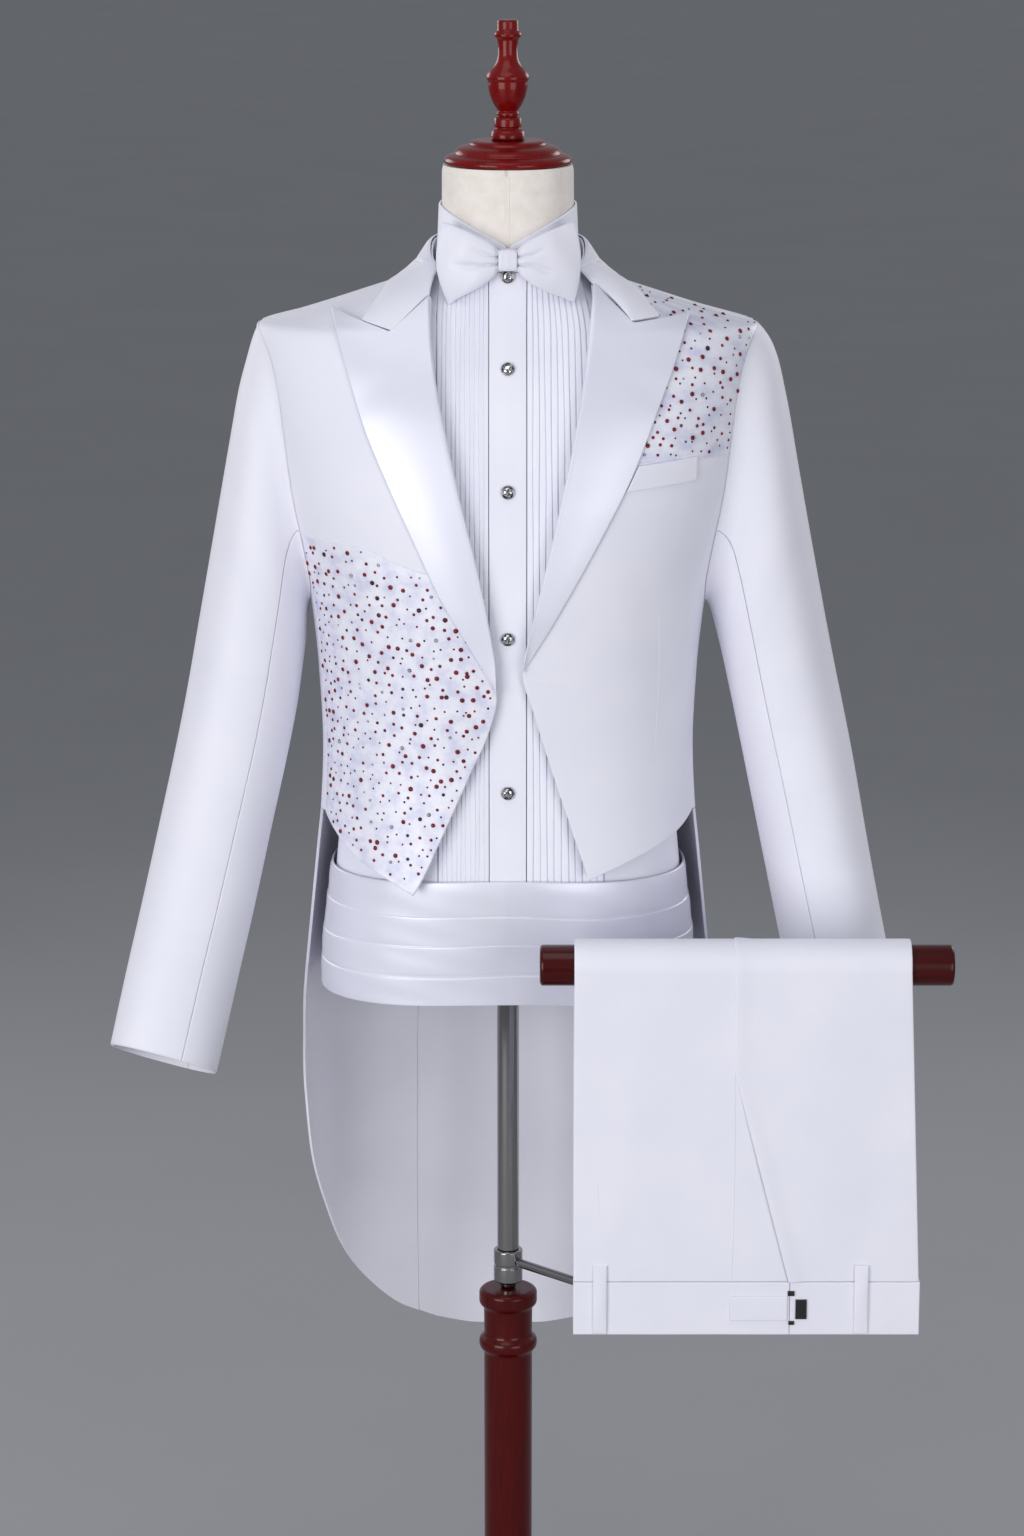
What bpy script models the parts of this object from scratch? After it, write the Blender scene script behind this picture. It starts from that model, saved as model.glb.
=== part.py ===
"""An embellished tailcoat suit on a limbless dress form, with its trousers folded over the stand's bar.

Metres. +Z is up, +X is the picture's right, -Y is the front. The origin is the middle of the base's
underside. Cloth pieces are closed walls raised from ring tables of the coat and of the form.
"""

import math

import bmesh
import bpy
import numpy as np

MM = 0.001
SEAM = 0.0005
SQUARENESS = 2.3
DOMAIN_RADIUS = 0.15
COLLECTION = "embellished_tuxedo"

# The coat's outer surface: height, half width, front depth, back depth, in millimetres.
COAT_RINGS = (
    (400, 195, 150, 150), (430, 195, 150, 150), (560, 197, 150, 152), (700, 196, 148, 150),
    (800, 189, 143, 146), (900, 180, 136, 138), (950, 175, 131, 131), (1000, 170, 127, 124),
    (1050, 168, 125, 119), (1120, 171, 128, 120), (1160, 174.5, 131, 123), (1200, 180, 134, 126),
    (1240, 191, 135, 129), (1280, 203, 134, 131), (1320, 212, 129, 131), (1360, 219, 121, 128),
    (1400, 224, 107, 121), (1420, 225, 97, 116), (1432, 222, 91, 112), (1440, 194, 86, 106),
    (1450, 161, 80, 99), (1460, 130, 74, 91), (1468, 105, 69, 84), (1476, 83, 66, 77),
    (1485, 69, 64, 70), (1500, 67.2, 62.5, 68.2), (1540, 66.5, 61.5, 67),
)

# The dress form's surface, with the same columns.
FORM_RINGS = (
    (838, 165, 106, 107), (870, 163, 108, 110), (920, 157, 110, 110), (960, 153, 111.5, 108),
    (1000, 150, 112, 105), (1050, 149, 113, 103), (1120, 153, 117, 105), (1160, 158, 120, 108),
    (1200, 164, 123, 111), (1240, 174, 123.5, 114), (1280, 184, 122, 116), (1320, 192, 117, 116),
    (1360, 199, 109, 113), (1395, 202, 96, 107), (1412, 201, 87, 102), (1423, 190, 80, 97),
    (1434, 160, 74, 90), (1446, 126, 68, 82), (1456, 98, 62.5, 75), (1466, 77, 59, 68),
    (1478, 64, 57, 63), (1495, 60, 56, 61), (1520, 58.5, 55.5, 60), (1572.6, 58, 55.5, 60),
)

COAT_WALL = 2.4 * MM
SHIRT_LIFT = 0.5 * MM
SHIRT_WALL = 1.2 * MM
TRIM_GAP = 0.7 * MM
SHOULDER_POWER = 1.6
# How far the form itself lies under its table where the shirt covers it: height, depth, in millimetres.
FORM_UNDER = (
    (838, 4.5), (1120, 5.0), (1250, 9.0), (1370, 13.0), (1400, 16.0), (1430, 16.0), (1466, 9.0), (1484, 2.5),
    (1504, 0.0),
)
LAPEL_WALL = 2.0 * MM

# Front edges of the coat as seen from the front: x, z in millimetres.
ROLL_RIGHT = (
    (-28.5, 1244.3), (-41.4, 1296.6), (-52.6, 1347.6), (-61.3, 1389.2), (-66.7, 1429.9), (-67.9, 1465.1),
)
CUTAWAY_RIGHT = (
    (-84.5, 936.9), (-73.6, 957.1), (-60.1, 987.5), (-35.2, 1044.4), (-15.7, 1090.4), (-9.5, 1117.9),
    (-10.4, 1145.3), (-17.3, 1190.8), (-28.5, 1244.3),
)
HEM_RIGHT = ((-165.5, 995.0), (-159.4, 986.3), (-137.9, 966.1), (-111.0, 951.0), (-84.5, 936.9))
BAND_SEAM = ((-66.0, 1230.0), (-94.0, 1236.6), (-129.2, 1249.8))
ROLL_LEFT = (
    (53.5, 1327.0), (59.0, 1355.9), (66.9, 1405.5), (71.5, 1445.6), (73.7, 1473.2),
)
CUTAWAY_LEFT = (
    (72.4, 952.2), (55.0, 1003.1), (39.8, 1048.8), (22.1, 1106.8), (12.8, 1140.7), (19.4, 1177.2),
    (28.9, 1217.6), (39.2, 1261.8), (50.4, 1313.6), (53.5, 1327.0),
)
HEM_LEFT = ((72.4, 952.2), (107.0, 965.0), (142.0, 978.7), (162.6, 991.0), (167.0, 995.0))

SIDE_SEAM_DEG = 78.0
BACK_SEAM_DEG = 148.0
HEM_SIDE_Z = 988 * MM
NECK_Z = 1483 * MM
SIDE_ROWS = 8
SKIRT_ROWS = 9
SKIRT_SHIFT = 1.6 * MM
NECK_BACK_Z = 1484 * MM

# The armhole is an oval about the shoulder's side: middle height, half height, half angle.
ARM_Z = 1307.5 * MM
ARM_HALF_Z = 122.5 * MM
ARM_HALF_DEG = 16.5
ARM_POWER = 2.5
BAND_SIDE_Z = 1252 * MM
YOKE_SIDE_Z = 1324.6 * MM
BACK_ARM_Z = 1335 * MM

# The tail's free edge: degrees round from the front, height in millimetres.
TAIL_EDGE = (
    (90, 986), (90, 918), (91, 842), (97.8, 756), (102, 702), (106.8, 637), (115, 573), (123, 520),
    (131.8, 482.6), (141.7, 454.5), (148, 445),
)
TAIL_CORNER = 7
TAIL_BOTTOM = ((148, 445), (155, 436.8), (169.5, 428.6), (179.2, 428))

# Lapels from the break up: roll x, roll z, edge x, edge z, in millimetres.
LAPEL_RIGHT = (
    (-10.0, 1121.0, -12.5, 1129.0), (-10.4, 1145.3, -34.8, 1167.8), (-17.3, 1190.8, -59.1, 1209.7),
    (-28.5, 1244.3, -80.7, 1256.1), (-41.4, 1296.6, -102.3, 1303.3), (-52.6, 1347.6, -124.0, 1353.8),
    (-61.3, 1389.2, -139.9, 1403.4), (-66.7, 1429.9, -147.5, 1428.0), (-67.9, 1462.4, -153.7, 1448.5),
)
LAPEL_LEFT = (
    (12.6, 1143.0, 15.0, 1147.1), (19.4, 1177.2, 34.2, 1177.9), (28.9, 1217.6, 57.6, 1218.7),
    (39.2, 1261.8, 82.7, 1264.9), (50.4, 1313.6, 107.9, 1314.3), (59.0, 1355.9, 128.7, 1366.3),
    (66.9, 1405.5, 144.6, 1407.3), (71.5, 1445.6, 151.5, 1428.0), (73.7, 1471.0, 158.0, 1444.5),
)
# Where the gorge meets the peak: share across, drop below the straight top edge, in millimetres.
NOTCH_RIGHT = (0.40, 21.9)
NOTCH_LEFT = (0.42, 18.9)
NOTCH_REACH = 0.22
ROLL_RISE = 2.6 * MM
PEAK_RISE = 3.2 * MM

# Collar fall from its front end to the middle of the back, in degrees from the front and millimetres:
# fold angle, fold height, middle angle, middle height, middle lift, edge angle, edge height.
FALL_RIGHT = (
    (48.2, 1464.9, 51.3, 1436.6, 3.4, 62.3, 1442.8), (51.0, 1470.5, 56.0, 1451.5, 4.4, 65.5, 1453.8),
    (55.5, 1477.5, 64.0, 1467.0, 5.9, 72.0, 1463.2), (63.5, 1487.0, 76.0, 1486.0, 8.4, 86.0, 1468.2),
    (78.0, 1494.4, 88.3, 1485.7, 11.0, 98.0, 1470.5), (110.0, 1505.6, 114.0, 1492.7, 6.7, 118.0, 1469.5),
    (145.0, 1508.0, 146.0, 1493.5, 7.0, 147.0, 1468.0), (180.0, 1509.0, 180.0, 1494.0, 6.5, 180.0, 1467.5),
)
FALL_LEFT = (
    (58.6, 1473.2, 56.1, 1443.0, 3.4, 65.2, 1445.4), (59.5, 1478.0, 60.0, 1455.5, 4.4, 68.6, 1454.6),
    (61.5, 1483.5, 67.5, 1469.5, 6.5, 74.5, 1462.2),
) + FALL_RIGHT[3:]
FALL_LIFT = 1.2 * MM
FALL_EDGE_LIFT = 1.6 * MM
FALL_WALL = 2.0 * MM

# Sleeve outlines seen from the front: height, x, in millimetres.
SLEEVE_OUT_RIGHT = (
    (786.6, 359.9), (847, 346.5), (907, 332.5), (966.5, 319), (1088, 292.5), (1177, 276.1),
    (1261, 260.7), (1343, 245.6), (1374.5, 239.7), (1398, 233.5), (1416, 228.7), (1430, 222),
)
SLEEVE_IN_RIGHT = (
    (759.8, 264.7), (794, 256.5), (840, 245.8), (903.5, 230.7), (966.5, 216.7), (1088, 190.5),
    (1118.6, 186), (1149, 182), (1170, 180.5), (1185, 178.5),
)
SLEEVE_OUT_LEFT = (
    (786.6, 361.0), (820, 354.0), (880, 342.0), (960, 326.6), (1048.7, 310.6), (1139, 291.8),
    (1224, 275.1), (1301, 260.6), (1369, 248.2), (1407, 240.2), (1420, 233.5), (1430, 222),
)
SLEEVE_IN_LEFT = (
    (759.8, 273.0), (820, 259.5), (880, 246.6), (982, 225.4), (1061, 209.0), (1135, 192.8),
    (1160, 186.5), (1175, 182.5), (1185, 178.5),
)
# Sleeve rings: outer height, inner height, middle y, half depth, share taken from the tube.
SLEEVE_RINGS = (
    (1430, 1185, 0, 54, 0.0), (1420, 1178, 0, 58, 0.5), (1394, 1170, 0, 63, 0.9),
    (1343, 1153, -1, 67, 1.0), (1280, 1128, -2, 69, 1.0), (1200, 1096, -5, 68, 1.0),
    (1120, 1055, -12, 65, 1.0), (1040, 998, -24, 61, 1.0), (955, 923, -41, 55.5, 1.0),
    (870, 843, -61, 49.5, 1.0), (786.6, 759.8, -84, 42.5, 1.0),
)
SLEEVE_WALL = 2.2 * MM
# The cuff's front edge is higher than its back edge: rise over reach, and its share ring by ring.
CUFF_TILT = 0.42
CUFF_TILT_SHARES = (0, 0, 0, 0, 0, 0, 0.05, 0.2, 0.45, 0.75, 1)
SLEEVE_HEAD = 2.6 * MM
HEAD_GAP = 1.7 * MM
SLEEVE_SEAM_DEG = 114.0
SLEEVE_POWER = 2.15
ARM_SEAM_DEG = 0.2

BIB_IN = 16.9 * MM
# The bibs' outer edges: height, right x, left x, in millimetres.
BIB_OUT = ((845, 62, 88), (1160, 62, 80), (1430, 62, 74), (1484, 58.5, 60))
BIB_ROWS = 8
PLEATS = 11
PLEAT_RISE = 0.8 * MM
PLEAT_SHARE = 0.82
SHIRT_BOTTOM = 845 * MM
SHIRT_NECK_Z = 1484 * MM
PLACKET_HALF = 16.2 * MM
PLACKET_LIFT = 1.1 * MM
SHIRT_ARM_HALF_DEG = 15.0
SHIRT_ARM_Z = 1296 * MM
SHIRT_ARM_HALF_Z = 117 * MM
# Studs: height, gap over the placket's even surface, in millimetres.
STUDS = ((1480.5, 0.4), (1403.5, -0.6), (1301.2, 0.4), (1171.8, 0.4), (1030.3, 0.4))
STUD_RADIUS = 6.0 * MM
STUD_DEPTH = 3.2 * MM

COLLAR_FOOT_Z = 1484.5 * MM
COLLAR_LIFT = 0.9 * MM
COLLAR_FRONT_Z = 1506.5 * MM
COLLAR_SIDE_Z = 1538.0 * MM
COLLAR_BACK_Z = 1541.0 * MM
COLLAR_OPEN_DEG = 1.5

# Cummerbund fold edges at the front, from the bottom, in millimetres, and their drop at the sides.
FOLD_Z = (833.3, 861.3, 889.0, 917.0, 949.5)
FOLD_SIDE_DROP = 9.0
FOLD_LOW = 5.2 * MM
FOLD_HIGH = 7.6 * MM
BAND_INNER = 4.6 * MM

# Bow tie loop sections from the knot out: x, middle height, half height, half thickness, y.
LOOP_SECTIONS = (
    (7.7, 1496.0, 9.0, 3.2, -66.5), (14.0, 1496.0, 11.5, 5.6, -68.0), (24.0, 1495.5, 16.5, 7.6, -68.5),
    (36.0, 1494.5, 22.5, 8.2, -67.0), (48.0, 1493.0, 27.5, 7.0, -63.5), (57.0, 1491.8, 30.0, 4.2, -60.0),
    (61.0, 1491.0, 28.0, 1.6, -58.5),
)
KNOT_SIZE = (14.6 * MM, 13.0 * MM, 19.0 * MM)
KNOT_PLACE = (0.0, -66.0 * MM, 1496.5 * MM)

BAR_Y = -200 * MM
BAR_Z = 897 * MM
BAR_RADIUS = 18 * MM
BAR_X = (27.8 * MM, 389.4 * MM)
# The trousers' side edges: the left one slants outward from its top to the waist.
TROUSER_X = (57.9 * MM, 351.5 * MM)
TROUSER_FLARE = 14.0 * MM
TROUSER_MID = 199.0 * MM
CROTCH_Z = 807 * MM
FLY_X = 249.5 * MM
WAIST_SEAM_Z = 611.5 * MM
WAIST_END_Z = 562.0 * MM
LEG_FOLD_Z = 632 * MM
LEG_WALL = 1.1 * MM
LEG_LIFT = 0.75 * MM
LEG_THICK = 1.5 * MM
BACK_LIFT = 2.55 * MM
FRONT_LIFT = 4.1 * MM
WAIST_HOLLOW = 11.0 * MM
LEG_END_Z = 842 * MM

FORM_SECTIONS = (838.2, 880, 930, 985, 1050, 1120, 1190, 1250, 1310, 1355, 1390, 1410, 1423, 1434, 1446, 1458,
                 1470, 1484, 1504, 1572.6)
FORM_SIDES = 28

POLE_RADIUS = 10.2 * MM
POLE_TOP = 837.6 * MM
CLAMP_Z = (528.3 * MM, 560.2 * MM)
CLAMP_RADIUS = 13.6 * MM
ROD_RADIUS = 4.2 * MM
ROD_PATH = (
    (10.25, -9.55, 549.0), (78.0, -73.0, 549.5), (150.0, -141.0, 553.5), (190.0, -179.0, 562.0),
    (206.0, -194.5, 580.0), (211.5, -200.0, 606.0), (211.5, -200.0, 700.0), (211.5, -200.0, 878.4),
)

# Turned profiles, from the top of the axis down: radius, height, in millimetres.
FINIAL = (
    (0, 1698.2), (8.6, 1698.0), (9.3, 1696.8), (9.3, 1688.9), (11.9, 1686.8), (11.9, 1683.6), (9.4, 1681.6),
    (8.6, 1674.0), (9.0, 1665.0), (11.6, 1659.0), (17.2, 1652.9), (18.9, 1650.2), (18.9, 1647.2),
    (17.6, 1645.2), (17.6, 1641.0), (16.0, 1632.6), (12.6, 1624.8), (8.6, 1618.8), (10.0, 1617.8),
    (10.0, 1615.4), (8.8, 1614.6), (12.0, 1613.2), (12.2, 1605.6), (10.8, 1604.2), (14.4, 1601.6),
    (15.1, 1598.0), (15.0, 1595.0), (14.2, 1593.9), (0, 1593.9),
)
CAP = (
    (0, 1593.6), (30.0, 1593.6), (33.5, 1592.2), (34.6, 1589.6), (40.0, 1588.6), (44.0, 1587.0),
    (46.6, 1584.4), (47.4, 1581.8), (52.6, 1580.6), (56.0, 1578.2), (56.4, 1575.0), (54.6, 1572.9), (0, 1572.9),
)
COLUMN = (
    (0, 521.6), (24.0, 521.4), (27.2, 518.4), (27.2, 507.0), (22.8, 503.0), (22.4, 476.0), (27.0, 472.0),
    (27.2, 464.0), (22.6, 459.0), (22.4, 120.0), (25.0, 96.0), (30.0, 70.0), (36.0, 56.0), (42.0, 44.0),
    (42.0, 36.4), (0, 36.4),
)
BASE = (
    (0, 36.0), (120.0, 33.0), (158.0, 29.0), (170.0, 24.0), (175.0, 16.0), (175.0, 4.0), (172.0, 0), (0, 0),
)


def clear_scene():
    """Removes whatever the scene starts with."""
    for obj in list(bpy.data.objects):
        bpy.data.objects.remove(obj)


def smooth_value(xs, ys, x):
    """Monotone cubic curve through a rising table."""
    xs = np.asarray(xs, float)
    ys = np.asarray(ys, float)
    step = np.diff(xs)
    slope = np.diff(ys) / step
    both = slope[:-1] + slope[1:]
    safe = np.where(both == 0, 1.0, both)
    tangent = np.zeros(len(xs))
    tangent[1:-1] = np.where(slope[:-1] * slope[1:] > 0, 2 * slope[:-1] * slope[1:] / safe, 0.0)
    tangent[0] = slope[0]
    tangent[-1] = slope[-1]
    x = np.clip(x, xs[0], xs[-1])
    i = np.clip(np.searchsorted(xs, x) - 1, 0, len(step) - 1)
    t = (x - xs[i]) / step[i]
    return (
        (1 + 2 * t) * (1 - t) ** 2 * ys[i] + t * (1 - t) ** 2 * step[i] * tangent[i]
        + t * t * (3 - 2 * t) * ys[i + 1] + t * t * (t - 1) * step[i] * tangent[i + 1]
    )


class Body:
    """A standing surface given by a table of rings."""

    def __init__(self, rings):
        self.z, self.half, self.front, self.back = np.array(rings, float).T * MM

    def point(self, angle, z):
        """Places on the surface, at an angle round from the front and a height."""
        half = smooth_value(self.z, self.half, z)
        front = smooth_value(self.z, self.front, z)
        back = smooth_value(self.z, self.back, z)
        depth = np.where(np.cos(angle) > 0, front, back)
        across = (np.abs(np.sin(angle)) / half) ** SQUARENESS
        along = (np.abs(np.cos(angle)) / depth) ** SQUARENESS
        radius = (across + along) ** (-1 / SQUARENESS)
        return np.stack([radius * np.sin(angle), -radius * np.cos(angle), z + 0 * angle], -1)

    def lifted(self, angle, z, lift):
        """The same places moved out along the surface's normal."""
        angle, z, lift = np.broadcast_arrays(angle, z, lift)
        tiny = 2e-4
        around = self.point(angle + tiny, z) - self.point(angle - tiny, z)
        upward = self.point(angle, z + tiny) - self.point(angle, z - tiny)
        normal = np.cross(around, upward)
        normal /= np.linalg.norm(normal, axis=-1, keepdims=True)
        return self.point(angle, z) + normal * lift[..., None]

    def angle_at(self, x, z):
        """The angle of the front place with this x and height."""
        half = smooth_value(self.z, self.half, z)
        front = smooth_value(self.z, self.front, z)
        share = np.clip(1 - (np.abs(x) / half) ** SQUARENESS, 0, 1) ** (1 / SQUARENESS)
        return np.arctan2(x, front * share)


def spaced(points, shares):
    """A polyline's places at shares of its length. One given with as many places is kept as it is."""
    points = np.asarray(points, float)
    if len(points) == len(shares):
        return points
    run = np.concatenate([[0], np.cumsum(np.linalg.norm(np.diff(points, axis=0), axis=1))])
    return np.stack([np.interp(shares * run[-1], run, column) for column in points.T], -1)


def crowded(count, power):
    """Shares from 0 to 1, closer together toward 1 for a power above 1."""
    return 1 - (1 - np.linspace(0, 1, count)) ** power


def patch(bottom, top, left, right, rows, cols, power=1.0):
    """A grid filled in between four edges that share their corners."""
    across = np.linspace(0, 1, cols)
    upward = crowded(rows, power)
    low = spaced(bottom, across)[None]
    high = spaced(top, across)[None]
    start = spaced(left, upward)[:, None]
    end = spaced(right, upward)[:, None]
    u = across[None, :, None]
    v = upward[:, None, None]
    corners = (
        (1 - u) * (1 - v) * low[:, :1] + u * (1 - v) * low[:, -1:]
        + (1 - u) * v * high[:, :1] + u * v * high[:, -1:]
    )
    return (1 - v) * low + v * high + (1 - u) * start + u * end - corners


def drawn_in(grid, gap):
    """The grid with its four edges pulled in by half a seam."""
    grid = grid.copy()
    for _ in range(2):
        for edge, inner in ((0, 1), (-1, -2)):
            step = grid[inner] - grid[edge]
            grid[edge] += step / np.linalg.norm(step, axis=-1, keepdims=True) * gap / 2
        grid = np.swapaxes(grid, 0, 1)
    return grid


def mesh_object(name, vertices, faces, colour, roughness=0.8, metallic=0.0):
    """An object with its own material, its faces turned outward."""
    mesh = bpy.data.meshes.new(name)
    mesh.from_pydata([tuple(v) for v in vertices], [], faces)
    shaped = bmesh.new()
    shaped.from_mesh(mesh)
    if shaped.calc_volume(signed=True) < 0:
        bmesh.ops.reverse_faces(shaped, faces=shaped.faces)
    shaped.to_mesh(mesh)
    shaped.free()
    obj = bpy.data.objects.new(name, mesh)
    bpy.data.collections[COLLECTION].objects.link(obj)
    finish(obj, colour, roughness, metallic)
    return obj


def finish(obj, colour, roughness=0.8, metallic=0.0):
    """Gives the object a material of its own."""
    material = bpy.data.materials.new(obj.name)
    material.use_nodes = True
    shader = material.node_tree.nodes["Principled BSDF"]
    shader.inputs["Base Color"].default_value = (*colour, 1)
    shader.inputs["Roughness"].default_value = roughness
    shader.inputs["Metallic"].default_value = metallic
    obj.data.materials.append(material)


def quads(first, second, third, fourth):
    """Four-sided faces from four equal arrays of vertex numbers."""
    return np.stack([first.ravel(), second.ravel(), third.ravel(), fourth.ravel()], -1).tolist()


def wall(name, outer, inner, colour, closed=False, roughness=0.8):
    """A closed wall between two equal grids. A closed one runs all the way round."""
    rows, cols = outer.shape[:2]
    number = np.arange(rows * cols).reshape(rows, cols)
    if closed:
        number = np.concatenate([number, number[:, :1]], axis=1)
    deep = number + rows * cols
    faces = quads(number[:-1, :-1], number[:-1, 1:], number[1:, 1:], number[1:, :-1])
    faces += quads(deep[:-1, :-1], deep[1:, :-1], deep[1:, 1:], deep[:-1, 1:])
    faces += quads(number[0, 1:], number[0, :-1], deep[0, :-1], deep[0, 1:])
    faces += quads(number[-1, :-1], number[-1, 1:], deep[-1, 1:], deep[-1, :-1])
    if not closed:
        faces += quads(number[:-1, 0], number[1:, 0], deep[1:, 0], deep[:-1, 0])
        faces += quads(number[1:, -1], number[:-1, -1], deep[:-1, -1], deep[1:, -1])
    vertices = np.concatenate([outer.reshape(-1, 3), inner.reshape(-1, 3)])
    return mesh_object(name, vertices, faces, colour, roughness)


def loft(name, rings, colour, roughness=0.8):
    """A solid through closed rings, capped at both ends."""
    rings = np.asarray(rings)
    rows, cols = rings.shape[:2]
    number = np.arange(rows * cols).reshape(rows, cols)
    turned = np.concatenate([number, number[:, :1]], axis=1)
    faces = quads(turned[:-1, :-1], turned[:-1, 1:], turned[1:, 1:], turned[1:, :-1])
    faces += [number[0][::-1].tolist(), number[-1].tolist()]
    return mesh_object(name, rings.reshape(-1, 3), faces, colour, roughness)


def turned(name, profile, steps, colour, roughness=0.3, metallic=0.0):
    """A shape turned about the upright axis from its profile."""
    mesh = bpy.data.meshes.new(name)
    points = [(radius * MM, 0, height * MM) for radius, height in profile]
    mesh.from_pydata(points, [(i, i + 1) for i in range(len(points) - 1)], [])
    obj = bpy.data.objects.new(name, mesh)
    bpy.data.collections[COLLECTION].objects.link(obj)
    screw = obj.modifiers.new("Screw", "SCREW")
    screw.steps = steps
    screw.render_steps = steps
    screw.use_merge_vertices = True
    screw.merge_threshold = 1e-5
    finish(obj, colour, roughness, metallic)
    return obj


WHITE = (0.86, 0.87, 0.9)
SATIN = (0.82, 0.83, 0.88)
WOOD = (0.16, 0.02, 0.015)
CHROME = (0.7, 0.7, 0.72)
LINEN = (0.8, 0.76, 0.68)
BLACK = (0.02, 0.02, 0.02)

coat = Body(COAT_RINGS)
form = Body(FORM_RINGS)


def domain(body, edge):
    """An edge's x, z millimetres as distances round the body and heights."""
    edge = np.array(edge, float) * MM
    return np.stack([body.angle_at(edge[:, 0], edge[:, 1]) * DOMAIN_RADIUS, edge[:, 1]], -1)


def spot(degrees, z):
    """One domain place from degrees and metres."""
    return np.array([[math.radians(degrees) * DOMAIN_RADIUS, z]])


def degrees_edge(edge, side):
    """Rows of degrees and millimetres as domain places on one side."""
    edge = np.array(edge, float)
    return np.stack([np.radians(edge[:, 0]) * side * DOMAIN_RADIUS, edge[:, 1] * MM], -1)


def oval(turn, centre_z, half_z, half_deg, grow=0.0):
    """Armhole places: offset angle toward the front and height, for a turn from the top forward."""
    reach = (np.abs(np.cos(turn)) ** ARM_POWER + np.abs(np.sin(turn)) ** ARM_POWER) ** (-1 / ARM_POWER)
    z = centre_z + (half_z + grow) * np.cos(turn) * reach
    angle = (math.radians(half_deg) + grow / DOMAIN_RADIUS) * np.sin(turn) * reach
    return angle, z


def arm_edge(side, low, high, front=True, count=24, shape=(ARM_Z, ARM_HALF_Z, ARM_HALF_DEG)):
    """The armhole's edge between two heights, rising, as domain places."""
    turn = np.linspace(0, math.pi, 721)
    offset, z = oval(turn, *shape)
    z, offset = z[::-1], offset[::-1]
    heights = np.linspace(low, high, count)
    if high >= shape[0] + shape[1] - 1e-9:
        heights = low + (high - low) * np.sin(np.linspace(0, math.pi / 2, count))
    offset = np.interp(heights, z, offset)
    angle = math.pi / 2 + (-offset if front else offset)
    return np.stack([side * angle * DOMAIN_RADIUS, heights], -1)


def arm_height(degrees_off, shape=(ARM_Z, ARM_HALF_Z, ARM_HALF_DEG)):
    """Height of the armhole's lower half at an angle off the side."""
    share = 1 - (abs(degrees_off) / shape[2]) ** ARM_POWER
    return shape[0] - shape[1] * share ** (1 / ARM_POWER)


def body_panel(name, body, edges, rows, cols, lifts, colour, power=1.0):
    """A wall on a body between four edges given bottom, top, left, right."""
    grid = drawn_in(patch(*edges, rows, cols, power), SEAM)
    angle = grid[..., 0] / DOMAIN_RADIUS
    outer = body.lifted(angle, grid[..., 1], np.asarray(lifts[0]))
    inner = body.lifted(angle, grid[..., 1], np.asarray(lifts[1]))
    return wall(name, outer, inner, colour)


ARM_TOP = ARM_Z + ARM_HALF_Z
COAT_LIFTS = (0.0, -COAT_WALL)


def coat_fronts():
    """The four front panels, cut along the armholes, roll lines, cutaways and band seams."""
    neck = spot(-90, NECK_Z)
    arm = arm_edge(-1, BAND_SIDE_Z, ARM_TOP)
    roll = domain(coat, ROLL_RIGHT)
    band = np.concatenate([arm[:1], domain(coat, BAND_SEAM)[::-1], roll[:1]])
    shoulder = np.concatenate([arm[-1:], neck])
    body_panel("coat_front_plain_r", coat, (band, shoulder, arm, np.concatenate([roll, neck])),
               11, 10, COAT_LIFTS, WHITE, SHOULDER_POWER)

    side_top = arm_height(90 - SIDE_SEAM_DEG)
    side = np.concatenate([domain(coat, HEM_RIGHT)[:1], arm_edge(-1, side_top, BAND_SIDE_Z, count=8)])
    body_panel("coat_front_embellished_r", coat,
               (domain(coat, HEM_RIGHT), band, side, domain(coat, CUTAWAY_RIGHT)),
               11, 10, COAT_LIFTS, WHITE)

    neck = spot(90, NECK_Z)
    arm = arm_edge(1, YOKE_SIDE_Z, ARM_TOP)
    roll = domain(coat, ROLL_LEFT)
    yoke = np.concatenate([roll[:1], arm[:1]])
    shoulder = np.concatenate([neck, arm[-1:]])
    body_panel("coat_yoke_l", coat, (yoke, shoulder, np.concatenate([roll, neck]), arm),
               9, 9, COAT_LIFTS, WHITE, SHOULDER_POWER)
    side = np.concatenate([domain(coat, HEM_LEFT)[-1:], arm_edge(1, side_top, YOKE_SIDE_Z, count=10)])
    body_panel("coat_front_l", coat, (domain(coat, HEM_LEFT), yoke, domain(coat, CUTAWAY_LEFT), side),
               12, 9, COAT_LIFTS, WHITE)


def side_body_edge(side):
    """The curved seam between a side body and a back, from the waist to the armhole."""
    top = arm_edge(side, ARM_Z - ARM_HALF_Z, BACK_ARM_Z, front=False)[-1]
    low = spot(side * BACK_SEAM_DEG, HEM_SIDE_Z)[0]
    v = np.linspace(0, 1, SIDE_ROWS)[:, None]
    bend = np.concatenate([side * 0.055 * v * (1 - v), 0 * v], 1)
    return low + (top - low) * v * np.array([[1, 1]]) + bend


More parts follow.
